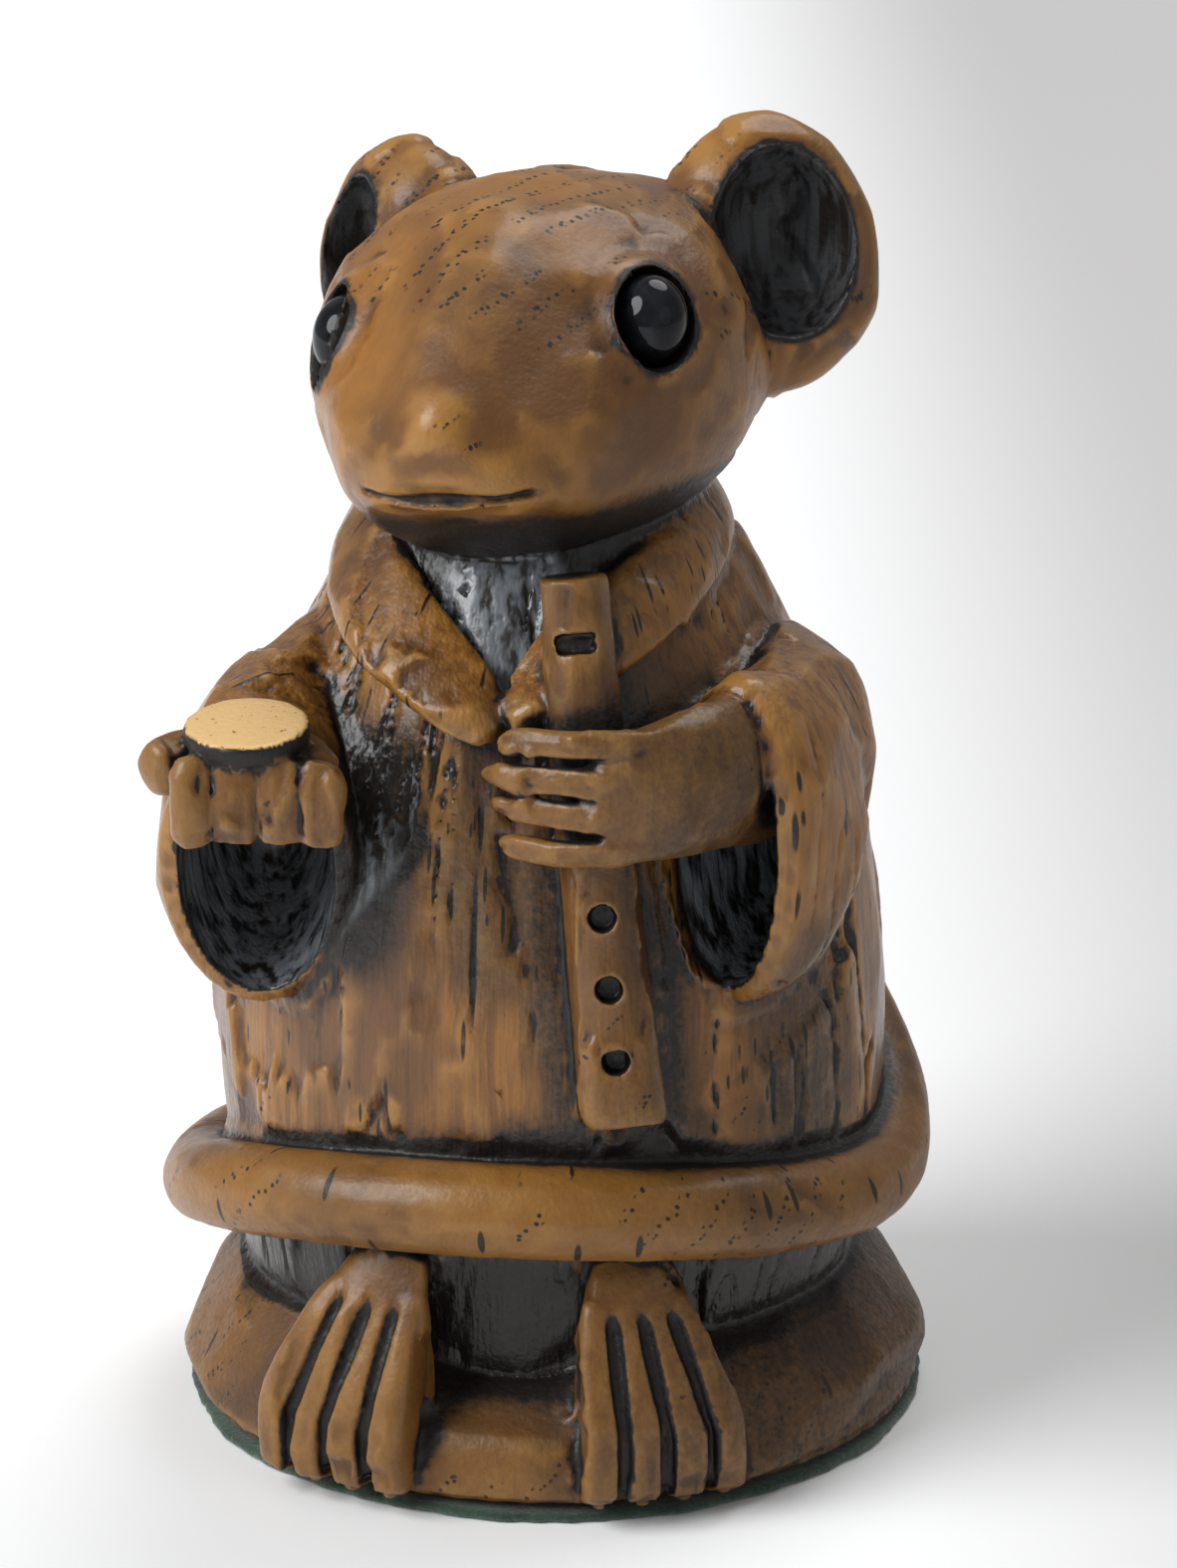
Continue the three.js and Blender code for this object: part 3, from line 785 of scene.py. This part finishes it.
def toe_grooves(co, low, high):
    """1 along the middle of the three grooves between the toes of each foot, falling to 0."""
    angle = np.degrees(np.arctan2(co[:, 0], -co[:, 1]))
    down = np.clip((TOE_TOP - co[:, 2]) / 8, 0, 1)
    marks = np.zeros(len(co))
    for top, low_end in FEET:
        spread = TOE_SPREAD[0] + (TOE_SPREAD[1] - TOE_SPREAD[0]) * down
        place = (angle - top - (low_end - top) * down) / spread
        away = np.abs(place - np.clip(np.round(place), -1, 1)) * np.radians(spread) * TOE_RADIUS
        marks = np.maximum(marks, 1 - soft(away, low, high))
    return marks * (1 - soft(co[:, 2], 10.8, 12.2))


def in_sleeve(co, rows):
    """How far each point is up a sleeve from its mouth, and its offset from the sleeve's axis there."""
    end, before = np.array(rows[-1][:3], float), np.array(rows[-2][:3], float)
    inward = unit(before - end)
    depth = (co - end) @ inward
    return depth, co - end - depth[:, None] * inward


def clouds(points, seed, octaves=3):
    """Smooth noise from -1 to 1."""
    total, size, norm = 0.0, 1.0, 0.0
    for octave in range(octaves):
        p = points / size
        base = np.floor(p).astype(np.int64)
        f = p - base
        f = f * f * (3 - 2 * f)
        value = 0.0
        for corner in np.ndindex(2, 2, 2):
            weight = np.where(corner, f, 1 - f).prod(axis=1)
            value = value + weight * scatter(base + corner, seed + 17 * octave)
        total = total + size * (2 * value - 1)
        norm += size
        size /= 2
    return total / norm


def soft(x, low, high):
    t = np.clip((x - low) / (high - low), 0, 1)
    return t * t * (3 - 2 * t)


# The fused casting

TRIANGLES = 194000  # the casting is thinned to this many
RAYS = 14  # rays that look for cover round each point
NEAR_COVER, FAR_COVER = 1.6, 7.0  # how far off cover still counts, in mm
UNROLLED = 21  # radius in mm at which the pattern runs round the figure at its true size


class MOUSE_OT_casting(bpy.types.Operator):
    """Fuse every form into one casting, carve its surface and find where the dark staining and the painted
    shade go
    """

    bl_idname = "mouse.casting"
    bl_label = "Fuse and Carve"

    def execute(self, context):
        sizes = context.scene.mouse_sizes
        self.mark_kinds()
        casting = self.fuse(sizes.grain)
        co, normals, kinds = self.read(casting.data)
        move_points(casting.data, self.tooled(co, normals, kinds, sizes, Neighbours(casting.data)))
        self.thin(casting)
        self.paint_marks(casting.data, *self.read(casting.data))
        casting.data.transform(IN_FRAME)
        bpy.ops.object.shade_smooth()
        dress(casting, resin_material(context.scene.mouse_colours))
        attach(casting, "root")
        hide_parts("mouse_casting")
        return {"FINISHED"}

    def mark_kinds(self):
        """Keeps a search tree of all the forms' points, to tell later which form a point came from."""
        points = [points_of(bpy.data.objects[name].data) for name, _ in forms]
        self.kind_of = np.concatenate([np.full(len(co), kind) for co, (_, kind) in zip(points, forms)])
        self.marks = search_tree(np.concatenate(points))

    def fuse(self, grain):
        bpy.ops.object.select_all(action="DESELECT")
        for name, _ in forms:
            bpy.data.objects[name].select_set(True)
        casting = bpy.data.objects[forms[0][0]]
        bpy.context.view_layer.objects.active = casting
        bpy.ops.object.join()
        casting.name = "carved_mouse"
        apply_modifier(casting, "REMESH", mode="VOXEL", voxel_size=grain)
        apply_modifier(casting, "SMOOTH", factor=0.5, iterations=2)
        return casting

    def read(self, mesh):
        """Places, normals and kinds of the points."""
        co = points_of(mesh)
        normals = np.empty(co.size, np.float32)
        mesh.vertex_normals.foreach_get("vector", normals)
        kinds = self.kind_of[np.array([self.marks.find(Vector(p))[1] for p in co])]
        return co, normals.reshape(-1, 3).astype(float), kinds

    def tooled(self, co, normals, kinds, sizes, beside):
        """Cuts the surface into knife facets, then adds the face's own forms and the grooves of the grain."""
        wide = sizes.gouge_width
        angle = np.arctan2(co[:, 0], -co[:, 1])
        round_robe = np.stack([angle * 20, np.hypot(co[:, 0], co[:, 1]) / 3, co[:, 2] / 4], axis=1)
        # Kind, the space in which its cells are even, their size, strength and tilt
        cuts = (
            (CLOTH, round_robe, wide, 0.8, 0.06),
            (SLEEVE, co * (0.8, 0.8, 0.4), 3.6, 0.8, 0.05),
            (SKIN, co, 4.8, 0.4, 0.0),
            (HAND, co * (1, 1, 0.7), 2.0, 0.65, 0.06),
            (COLLAR, co, 4.2, 0.6, 0.0),
            (MOUND, co * (1, 1, 0.8), 6.5, 0.75, 0.0),
            (FOOT, co * (1, 1, 0.45), 2.3, 0.72, 0.05),
            (TAIL, co, 4.4, 0.2, 0.0),
            (WOOD, co * (1, 1, 0.3), 2.4, 0.5, 0.03),
        )
        eyes = np.full(len(co), 99.0)
        for side in (1, -1):
            eyes = np.minimum(eyes, lengths(to_own_frame(co, eye_matrix(side))))
        mouth = to_own_frame(co, head_matrix())
        lips = near_line(mouth, (-5, -19.6, -4.9), (5, -19.6, -4.9))
        clear = soft(eyes, 3.4, 7.0) * soft(lips, 1.4, 3.0)
        border = beside.blur((np.abs(beside.mean(kinds.astype(float)) - kinds) > 0.01).astype(float), 10)
        clear *= 1 - 0.85 * soft(border, 0.0, 0.3) * (kinds != FOOT) * (kinds != HAND)
        for rows in (RIGHT_SLEEVE, LEFT_SLEEVE):
            depth, out = in_sleeve(co, rows)
            rim = (lengths(out) < 12) & (kinds == SLEEVE)
            inside = dots(out, normals) < -0.2 * lengths(out)
            clear *= 1 - rim * np.maximum(inside, 1 - soft(depth, 0.6, 2.6))
        front = np.exp(-(((np.degrees(angle) - 3) / 20) ** 4)) * (kinds == MOUND)
        clear *= 1 - 0.8 * front
        push = np.zeros(len(co))
        for kind, space, size, strength, tilt in cuts:
            here = np.flatnonzero(kinds == kind)
            cut = facets(co[here], normals[here], space[here], size, strength, tilt, kind)
            push[here] = cut * clear[here]
        push = beside.blur(push, 3) + 0.05 * clouds(co / 1.6, 31)
        upright = np.stack([angle * 14, np.zeros(len(co)), co[:, 2] * 0.06], axis=1)
        grooves = 1 - soft(np.abs(clouds(upright, 61, 2)), 0.0, 0.09)
        breaks = soft(clouds(co * (0.2, 0.2, 0.09), 67, 2), -0.1, 0.15)
        push -= sizes.gouge_depth * grooves * breaks * clear * ((kinds == CLOTH) + 0.35 * (kinds == SLEEVE))
        push -= 0.45 * toe_grooves(co, 0.12, 0.5) * (kinds == FOOT)
        face = on_head(co, kinds)
        features = np.zeros(len(co))
        features[face] = face_forms(co[face])
        push += beside.blur(features, 8)
        flat = (co[:, 2] < 0.3) & (normals[:, 2] < -0.5)
        push[flat | (kinds == COIN)] = 0
        co = co + normals * push[:, None]
        co[:, 2] = np.maximum(co[:, 2], -0.3)
        return co

    def thin(self, casting):
        count = sum(len(p.vertices) - 2 for p in casting.data.polygons)
        share = min(1.0, TRIANGLES / count)
        apply_modifier(casting, "DECIMATE", ratio=share, use_collapse_triangulate=True)

    def covered(self, mesh, co, normals):
        """How much stands close over each point, and how much stands further off."""
        tree = BVHTree.FromPolygons([tuple(p) for p in co], [tuple(p.vertices) for p in mesh.polygons])
        fan = np.random.default_rng(7).normal(size=(RAYS, 3))
        fan /= lengths(fan)[:, None]
        narrow, broad = np.zeros(len(co)), np.zeros(len(co))
        for i, (p, n) in enumerate(zip(co, normals)):
            start = Vector(p + n * 0.06)
            for d in fan:
                hit = tree.ray_cast(start, Vector(d + n * 1.05), FAR_COVER)[3]
                if hit is not None:
                    narrow[i] += max(0.0, 1 - hit / NEAR_COVER)
                    broad[i] += 1 - hit / FAR_COVER
        return narrow / RAYS, broad / RAYS

    def paint_marks(self, mesh, co, normals, kinds):
        """Stores how hidden and how sharp each point is, where the painted shade and the painted reflection
        go, and which finish it has, for the material, which paints shade and highlights from them.
        """
        beside = Neighbours(mesh)
        narrow, broad = (beside.blur(cover, 2) for cover in self.covered(mesh, co, normals))
        bulge = beside.blur(-dots(beside.mean(co) - co, normals), 2, 0.5)
        hidden = [np.clip(v, 0, 1) for v in (broad * 1.6, narrow * 2.2, 0.5 + bulge * 9)]
        store(mesh, "hidden", *hidden, self.stain_shade_and_shine(co, normals, kinds))

        sizes = ((9, 71), (3.6, 73), (3, 79), (4.6, 83))
        store(mesh, "patches", *[0.5 + 0.5 * clouds(co / size, seed) for size, seed in sizes])

        own, head = to_own_frame(co, head_matrix()), on_head(co, kinds)
        forehead = soft(own @ (0, 0.35, 0.94), -4.5, 0.5) * (1 - 0.6 * soft(np.abs(own[:, 0]), 7, 10))
        porous = np.select([head, kinds == MOUND, kinds == TAIL], [forehead, 0.75, 0.6], 0.2)
        woven = (kinds == CLOTH) | (kinds == COLLAR) | (kinds == SLEEVE)
        cloth = beside.blur(np.select([woven, kinds == WOOD, kinds == HAND], [1.0, 0.6, 0.3], 0), 2)
        gilt = (kinds == COIN) & (normals[:, 2] > 0.75)
        store(mesh, "finish", porous, cloth, gilt, (kinds == TAIL) | (kinds == MOUND))

        round_it, rise = np.arctan2(co[:, 0], -co[:, 1]) * UNROLLED, co[:, 2]
        along = np.where(head, co @ (0.63, 0.64, 0.44), 0.64 * round_it + 0.77 * rise)
        across = np.where(head, co @ (0.77, -0.43, -0.47), 0.77 * round_it - 0.64 * rise)
        store(mesh, "grain", along, across, round_it, rise)

    def stain_shade_and_shine(self, co, normals, kinds):
        """How much darker each point is painted, mostly painted shade: under the tail and chin, inside the
        sleeves and ears, between the hands, whistle and robe, on the mound's shelf, between the toes, on the
        coin's rim and more on the right-hand side; also the real black paint round the eyes and the darker
        staining of the feet, mound, hands, whistle and tail. Values above 1 on the chest paint a reflection.
        """
        cloth = ((kinds == CLOTH) | (kinds == SLEEVE)).astype(float)
        layers = [np.zeros(len(co))]
        # From, to, reach and strength of each patch of painted shade; the first, on the chest, runs to 2 and
        # also paints the reflection
        shade_and_shine_strokes = (
            ((0, -14, 54), (0.4, -17, 49.4), 4.2, 2.0),
            ((-7, -17.5, 45), (-8.6, -18.5, 34), 3.2, 0.8),
            ((0, -18.6, 44), (0.4, -20, 33), 3.0, 0.42),
            ((10.8, -18, 40), (10.4, -19, 24), 2.6, 0.75),
            ((3.0, -19, 40), (5.2, -20, 24), 1.8, 0.6),
            ((17, -12, 32), (18, -10, 22), 4.0, 0.5),
            ((2, -19.6, 22), (12, -17, 22), 1.6, 0.5),
        )
        for start, end, reach, strength in shade_and_shine_strokes:
            fade = 1 - soft(near_line(co, start, end), reach * 0.6, reach * 1.5)
            layers.append(strength * cloth * fade)
        # Painted shade on the robe below the tail
        layers.append(0.95 * cloth * (1 - soft(co[:, 2], 13, 16)))
        # Painted shade on the mound's upward shelf round the robe
        shelf_shade = (kinds == MOUND) * soft(normals[:, 2], 0.6, 0.85) * soft(co[:, 2], 4.5, 6)
        layers.append(0.9 * shelf_shade)
        # Painted shade in the grooves between the toes
        layers.append((kinds == FOOT) * toe_grooves(co, 0.2, 0.5))
        # These parts are darker all over, and more so to the right: partly their own darker staining, partly
        # painted shade where the light falls off
        right = soft(co[:, 0], 2, 14)
        for kind, strength in ((FOOT, 0.42), (MOUND, 0.54), (HAND, 0.45), (WOOD, 0.42), (TAIL, 0.26)):
            layers.append(strength * (0.55 + 0.45 * right) * (kinds == kind))
        # Painted shade inside the sleeves' mouths
        for rows in (RIGHT_SLEEVE, LEFT_SLEEVE):
            depth, out = in_sleeve(co, rows)
            reach = np.maximum(lengths(out), 0.01)
            facing = -dots(out, normals) / reach
            inside = soft(facing, 0.1, 0.5) * (reach < 10.5) * soft(depth, -0.5, 1.2)
            layers.append(1.7 * cloth * inside * (depth < SLEEVE_HOLLOW + 2))
        skin = kinds == SKIN
        # Painted shade under the chin
        chin = to_own_frame(co, head_matrix())[:, 2]
        layers.append(on_head(co, kinds) * soft(-chin, 5.9, 7.8))
        for side in (1, -1):
            # Painted shade inside the ear cups
            cup = to_own_frame(co, cup_matrix(side))
            inside = lengths(cup / np.array(EAR_CUP[side]))
            layers.append(1.3 * skin * (1 - soft(inside, 1.02, 1.12)) * (cup[:, 1] > -2))
            # The real black paint in the eye sockets
            lids = np.abs(to_own_frame(co, lid_matrix(side)))
            almond = (lids[:, 0] / 2.95) ** 1.7 + (lids[:, 2] / 3.6) ** 1.7
            layers.append(skin * (1 - soft(almond, 0.9, 1.06)) * (lids[:, 1] < 3.2))
        # Painted shade on the coin's rim, under its gilt top
        layers.append(0.9 * (kinds == COIN) * (normals[:, 2] < 0.75))
        return np.maximum.reduce(layers)


# Materials


class Shader:
    """A material's nodes, added in the order they are used."""

    def __init__(self, name):
        self.material = bpy.data.materials.new(name)
        self.material.use_nodes = True
        self.tree = self.material.node_tree
        self.tree.nodes.clear()
        self.where = self.add("ShaderNodeTexCoord").outputs["Object"]

    def add(self, kind, settings=None, **inputs):
        node = self.tree.nodes.new(kind)
        for key, value in (settings or {}).items():
            setattr(node, key, value)
        for key, value in inputs.items():
            self.set(node, key.replace("_", " "), value)
        return node

    def set(self, node, key, value):
        socket = node.inputs[int(key[1:])] if key[0] == "#" else node.inputs[key]
        if isinstance(value, bpy.types.NodeSocket):
            self.tree.links.new(value, socket)
        else:
            socket.default_value = value

    def math(self, operation, a, b=0.0, c=0.0, clamp=False):
        node = self.add("ShaderNodeMath", {"operation": operation, "use_clamp": clamp})
        for k, value in enumerate((a, b, c)):
            if k < len(node.inputs):
                self.set(node, f"#{k}", value)
        return node.outputs[0]

    def times(self, a, b, clamp=False):
        return self.math("MULTIPLY", a, b, clamp=clamp)

    def plus(self, a, b):
        return self.math("ADD", a, b)

    def most(self, a, b):
        return self.math("MAXIMUM", a, b)

    def times_plus(self, a, b, c):
        return self.math("MULTIPLY_ADD", a, b, c)

    def mix(self, share, a, b):
        node = self.add("ShaderNodeMix", {"data_type": "RGBA"})
        self.set(node, "#0", share)
        self.set(node, "#6", a if isinstance(a, bpy.types.NodeSocket) else (*a[:3], 1))
        self.set(node, "#7", b if isinstance(b, bpy.types.NodeSocket) else (*b[:3], 1))
        return node.outputs[2]

    def ramp(self, value, low, high, start=0.0, end=1.0):
        """value between low and high, brought to start and end with a soft step."""
        node = self.add("ShaderNodeMapRange", {"interpolation_type": "SMOOTHSTEP"})
        for k, v in enumerate((value, low, high, start, end)):
            self.set(node, f"#{k}", v)
        return node.outputs[0]

    def noise(self, where, scale, detail=3.0, rough=0.5):
        node = self.add("ShaderNodeTexNoise", Vector=where, Scale=scale, Detail=detail, Roughness=rough)
        return node.outputs[0]

    def point_values(self, name):
        """The four values that each point keeps under a name."""
        node = self.add("ShaderNodeAttribute", {"attribute_name": name})
        return (*self.add("ShaderNodeSeparateColor", Color=node.outputs[0]).outputs, node.outputs["Alpha"])

    def finish(self, **inputs):
        """Gives the material its surface."""
        surface = self.add("ShaderNodeBsdfPrincipled", **inputs)
        self.add("ShaderNodeOutputMaterial", Surface=surface.outputs[0])
        return self.material


# The resin's own browns, grain, pores and gilt, with dark staining and painted shade in hollows and under
# things, a painted highlight on raised edges and a painted reflection on the chest
def resin_material(colours):
    s = Shader("resin_stain_and_painted_light")
    mm = s.add("ShaderNodeMapping", Vector=s.where, Scale=(1000, 1000, 1000)).outputs[0]
    broad, narrow, bulge, stain_shade_shine = s.point_values("hidden")
    porous, cloth, gilt, notched = s.point_values("finish")
    along, across, round_it, rise = s.point_values("grain")
    cloud, patch, other, wander = s.point_values("patches")

    def spots(u, v, wide, tall, inner, outer):
        """Spots scattered one to each cell of wide by tall mm, with their radius as a share of the cell."""
        place = s.add("ShaderNodeCombineXYZ", X=s.math("DIVIDE", u, wide), Y=s.math("DIVIDE", v, tall))
        flat = {"voronoi_dimensions": "2D"}
        cells = s.add("ShaderNodeTexVoronoi", flat, Vector=place.outputs[0], Scale=1.0)
        return s.ramp(cells.outputs["Distance"], outer, inner)

    long_grain = s.add("ShaderNodeMapping", Vector=mm, Scale=(1, 1, 0.08)).outputs[0]
    streak = s.noise(long_grain, 1.3, 2, 0.6)
    fine = s.noise(mm, 2.6, 1, 0.6)

    colour = s.mix(s.ramp(cloud, 0.34, 0.6, 0.2, 1), colours.deep, colours.resin)
    darker = s.times(s.ramp(streak, 0.56, 0.40), s.times_plus(cloth, 0.45, 0.1))
    colour = s.mix(darker, colour, colours.deep)
    # Raised edges turn paler: partly rubbed wear, partly a painted highlight
    colour = s.mix(s.times(s.ramp(bulge, 0.54, 0.80), 0.75), colour, colours.worn_and_highlight)

    # Pores in slanting rows, as in oak
    wave = s.math("SINE", s.times_plus(across, 3.3, s.times(wander, 4.0)))
    reach = s.times_plus(porous, 0.36, s.math("SUBTRACT", patch, 0.36))
    rows = s.times(s.ramp(wave, 0.45, 0.85), s.ramp(reach, 0.36, 0.46))
    pores = s.times(spots(along, across, 0.46, 0.54, 0.2, 0.34), rows)

    # Long slots and short ticks along the grain of the cloth, and notches on the tail and the mound
    slots = s.times(spots(round_it, rise, 1.9, 15, 0.06, 0.1), s.ramp(other, 0.38, 0.46))
    ticks = s.times(spots(round_it, rise, 1.1, 5.2, 0.09, 0.14), s.ramp(patch, 0.5, 0.56))
    slots = s.times(s.most(slots, ticks), cloth)
    notches = s.times(spots(round_it, rise, 3.3, 15, 0.045, 0.07), notched)
    pits = s.most(s.most(slots, pores), notches)

    # Dark staining in the hollows together with painted shade: darker where cover stands near or broad, in
    # creases, and in the painted shade patches
    close = s.times(s.ramp(narrow, 0.10, 0.55), 0.9)
    wash_and_shade = s.plus(s.ramp(broad, 0.30, 0.80), close)
    wash_and_shade = s.plus(wash_and_shade, s.times(s.ramp(bulge, 0.47, 0.25), 0.7))
    # Adds the painted shade patches; the chest's patch runs above 1 for the painted reflection
    wash_and_shade = s.plus(wash_and_shade, s.times(stain_shade_shine, 1.3))
    uneven = s.times_plus(s.plus(streak, fine), 0.75, 0.3)
    wash_and_shade = s.times(wash_and_shade, uneven, clamp=True)
    wash_and_shade = s.most(wash_and_shade, s.times(pits, 0.97))
    gold = s.times(gilt, s.ramp(fine, 0.24, 0.30))
    # Painted reflection: where the patches run above 1, on the chest, the colour turns a streaked pale bluish
    # grey
    painted_shine = s.ramp(stain_shade_shine, 1.0, 2.0)
    dark = s.mix(s.times(painted_shine, s.ramp(streak, 0.34, 0.58)), colours.wash_and_shade, colours.painted_reflection)
    colour = s.mix(s.times(wash_and_shade, s.math("SUBTRACT", 1.0, gilt)), colour, dark)
    colour = s.mix(gold, colour, colours.gilt)

    height = s.times(fine, 0.05)
    height = s.plus(height, s.times(s.times(streak, cloth), 0.18))
    bump = s.add("ShaderNodeBump", Height=height, Strength=1.0, Distance=MM)
    cloth_wash_and_shade = s.times(wash_and_shade, cloth)
    rough = s.times_plus(fine, 0.22, s.times_plus(cloth_wash_and_shade, -0.14, 0.36))
    rough = s.plus(rough, s.times(gold, 0.1))
    coat = s.times_plus(cloth, 0.2, s.times_plus(wash_and_shade, -0.32, 0.28))
    return s.finish(
        Base_Color=colour,
        Roughness=rough,
        Metallic=s.times(gold, 0.4),
        Normal=bump.outputs[0],
        Specular_IOR_Level=0.34,
        Coat_Weight=s.times_plus(painted_shine, 0.7, coat),
        Coat_Roughness=0.17,
    )


def glass_material():
    s = Shader("black_glass")
    smear = s.noise(s.where, 900.0, 3)
    shade = s.mix(s.ramp(smear, 0.3, 0.75), (0.004, 0.004, 0.005), (0.012, 0.013, 0.016))
    rough = s.ramp(smear, 0.3, 0.8, 0.04, 0.12)
    return s.finish(Base_Color=shade, Roughness=rough, IOR=1.33)


def felt_material(colours):
    s = Shader("green_felt")
    lint = s.noise(s.where, 2600.0, 5, 0.7)
    cloud = s.noise(s.where, 260.0, 3)
    colour = s.mix(s.ramp(lint, 0.35, 0.7), [c * 0.5 for c in colours.felt], colours.felt)
    colour = s.mix(s.ramp(cloud, 0.4, 0.7, 0, 0.5), colour, [c * 1.7 for c in colours.felt])
    bump = s.add("ShaderNodeBump", Height=lint, Strength=0.9, Distance=0.25 * MM)
    fuzz = dict(Sheen_Weight=0.4, Sheen_Roughness=0.5)
    return s.finish(Base_Color=colour, Roughness=0.95, Normal=bump.outputs[0], **fuzz)


def floor_material():
    s = Shader("pale_floor")
    sideways = s.add("ShaderNodeVectorMath", {"operation": "DOT_PRODUCT"})
    s.set(sideways, "#0", s.where)
    s.set(sideways, "#1", (0.986, 0.165, 0))
    # Painted shade: the floor's colour darkens towards the right, standing in for the light falling off
    shade = s.mix(s.ramp(sideways.outputs["Value"], 0.0, 0.07), (0.99, 0.99, 0.985), (0.53, 0.515, 0.51))
    return s.finish(Base_Color=shade, Roughness=0.7)


def dress(piece, material):
    piece.data.materials.clear()
    piece.data.materials.append(material)


class MOUSE_OT_eyes(bpy.types.Operator):
    """Model the two glossy black glass eyes"""

    bl_idname = "mouse.eyes"
    bl_label = "Glass Eyes"

    def execute(self, context):
        material = glass_material()
        for side, name in ((1, "left_eye"), (-1, "right_eye")):
            bpy.ops.mesh.primitive_uv_sphere_add(segments=40, ring_count=24, radius=1)
            eye = bpy.context.object
            eye.name = "glass_" + name
            place = IN_FRAME @ eye_matrix(side)
            eye.data.transform(place @ Matrix.Diagonal((*EYE_SIZE, 1)) @ spin(90, "X"))
            bpy.ops.object.shade_smooth()
            smooth_once(eye)
            dress(eye, material)
            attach(eye, "root")
            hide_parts(name)
        return {"FINISHED"}


class MOUSE_OT_felt(bpy.types.Operator):
    """Model the felt pad under the mound, with its fuzzy cut edge"""

    bl_idname = "mouse.felt"
    bl_label = "Felt Pad"

    def execute(self, context):
        radius = context.scene.mouse_sizes.felt_radius
        thick = 0.68
        profile = [(6, 0), (14, 0), (radius - 0.5, 0), (radius - 0.08, 0.08), (radius, 0.34)]
        profile += [(radius - 0.1, 0.6), (radius - 0.5, thick), (14, thick), (6, thick)]
        felt = ring_form("green_felt_pad", turned(profile), 120, MOUND, keep=False)
        co = points_of(felt.data)
        r = np.hypot(co[:, 0], co[:, 1])
        edge = soft(r, radius - 1.2, radius - 0.2)
        shift = 0.35 * clouds(co / 5, 41) + 0.22 * clouds(co / 0.9, 43)
        co[:, :2] *= (1 + edge * shift / radius)[:, None]
        move_points(felt.data, co)
        felt.data.transform(Matrix.Scale(MM, 4))
        bpy.ops.object.shade_smooth()
        dress(felt, felt_material(context.scene.mouse_colours))
        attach(felt, "root")
        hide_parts("felt_pad")
        return {"FINISHED"}


FRAME_HEIGHT = 1575  # pixels, in which the camera's focal length was fitted


class MOUSE_OT_stage(bpy.types.Operator):
    """Set up the pale floor, soft lights and the camera"""

    bl_idname = "mouse.stage"
    bl_label = "Floor, Lights and Camera"

    def execute(self, context):
        bpy.ops.mesh.primitive_circle_add(vertices=64, radius=3.0, fill_type="NGON")
        floor = bpy.context.object
        floor.name = "floor"
        dress(floor, floor_material())
        self.lamp("window", (-1.75, -1.20, 1.70), 1.9, 74, (0.96, 0.98, 1.0))
        self.lamp("fill", (1.80, -1.10, 0.80), 1.6, 1.5, (0.92, 0.96, 1.0))
        self.lamp("top", (0.45, 1.00, 2.10), 1.6, 24, (1.0, 1.0, 1.0))
        world = bpy.data.worlds.new("studio")
        world.use_nodes = True
        world.node_tree.nodes["Background"].inputs[0].default_value = (0.93, 0.94, 0.96, 1)
        world.node_tree.nodes["Background"].inputs[1].default_value = 0.32
        context.scene.world = world
        context.scene.view_settings.view_transform = "Standard"
        self.camera(context)
        return {"FINISHED"}

    def lamp(self, name, place, size, power, colour):
        bpy.ops.object.light_add(type="AREA", location=place)
        lamp = bpy.context.object
        lamp.name = name
        lamp.rotation_euler = (Vector((0, 0, 0.04)) - Vector(place)).to_track_quat("-Z", "Y").to_euler()
        lamp.data.shape = "DISK"
        lamp.data.size = size
        lamp.data.energy = power
        lamp.data.color = colour

    def camera(self, context):
        away, height, azimuth, pitch, yaw = 300.0, 133.143, 10.0, 17.514, 0.526
        focal_px = 5181.508
        a, p = math.radians(azimuth), math.radians(pitch)
        heading = a - math.radians(yaw)
        forward = Vector((-math.sin(heading) * math.cos(p), math.cos(heading) * math.cos(p), -math.sin(p)))
        place = Vector((away * math.sin(a) + STANCE, -away * math.cos(a), height)) * MM
        bpy.ops.object.camera_add(location=place, rotation=forward.to_track_quat("-Z", "Y").to_euler())
        camera = bpy.context.object
        camera.data.sensor_width = 36
        camera.data.lens = focal_px * camera.data.sensor_width / FRAME_HEIGHT
        camera.data.clip_start = 0.01
        context.scene.camera = camera


class MOUSE_PT_panel(bpy.types.Panel):
    """Shows the settings and lists the steps that model the figurine"""

    bl_idname = "MOUSE_PT_panel"
    bl_label = "Carved Mouse"
    bl_space_type = "VIEW_3D"
    bl_region_type = "UI"
    bl_category = "Mouse"

    def draw(self, context):
        column = self.layout.column()
        for settings in (context.scene.mouse_sizes, context.scene.mouse_colours):
            for name in settings.bl_rna.properties.keys():
                if name not in ("rna_type", "name"):
                    column.prop(settings, name)
        for step in STEPS:
            column.operator(step.bl_idname)


STEPS = (
    MOUSE_OT_robe,
    MOUSE_OT_head,
    MOUSE_OT_hands,
    MOUSE_OT_base,
    MOUSE_OT_casting,
    MOUSE_OT_eyes,
    MOUSE_OT_felt,
    MOUSE_OT_stage,
)


def register():
    for cls in (MouseSizes, MouseColours, *STEPS, MOUSE_PT_panel):
        bpy.utils.register_class(cls)
    bpy.types.Scene.mouse_sizes = bpy.props.PointerProperty(type=MouseSizes)
    bpy.types.Scene.mouse_colours = bpy.props.PointerProperty(type=MouseColours)


def unregister():
    del bpy.types.Scene.mouse_sizes, bpy.types.Scene.mouse_colours
    for cls in (MOUSE_PT_panel, *reversed(STEPS), MouseColours, MouseSizes):
        bpy.utils.unregister_class(cls)


def main():
    register()
    bpy.ops.mouse.robe()
    bpy.ops.mouse.head()
    bpy.ops.mouse.hands()
    bpy.ops.mouse.base()
    bpy.ops.mouse.casting()
    bpy.ops.mouse.eyes()
    bpy.ops.mouse.felt()
    bpy.ops.mouse.stage()


if __name__ == "__main__":
    main()
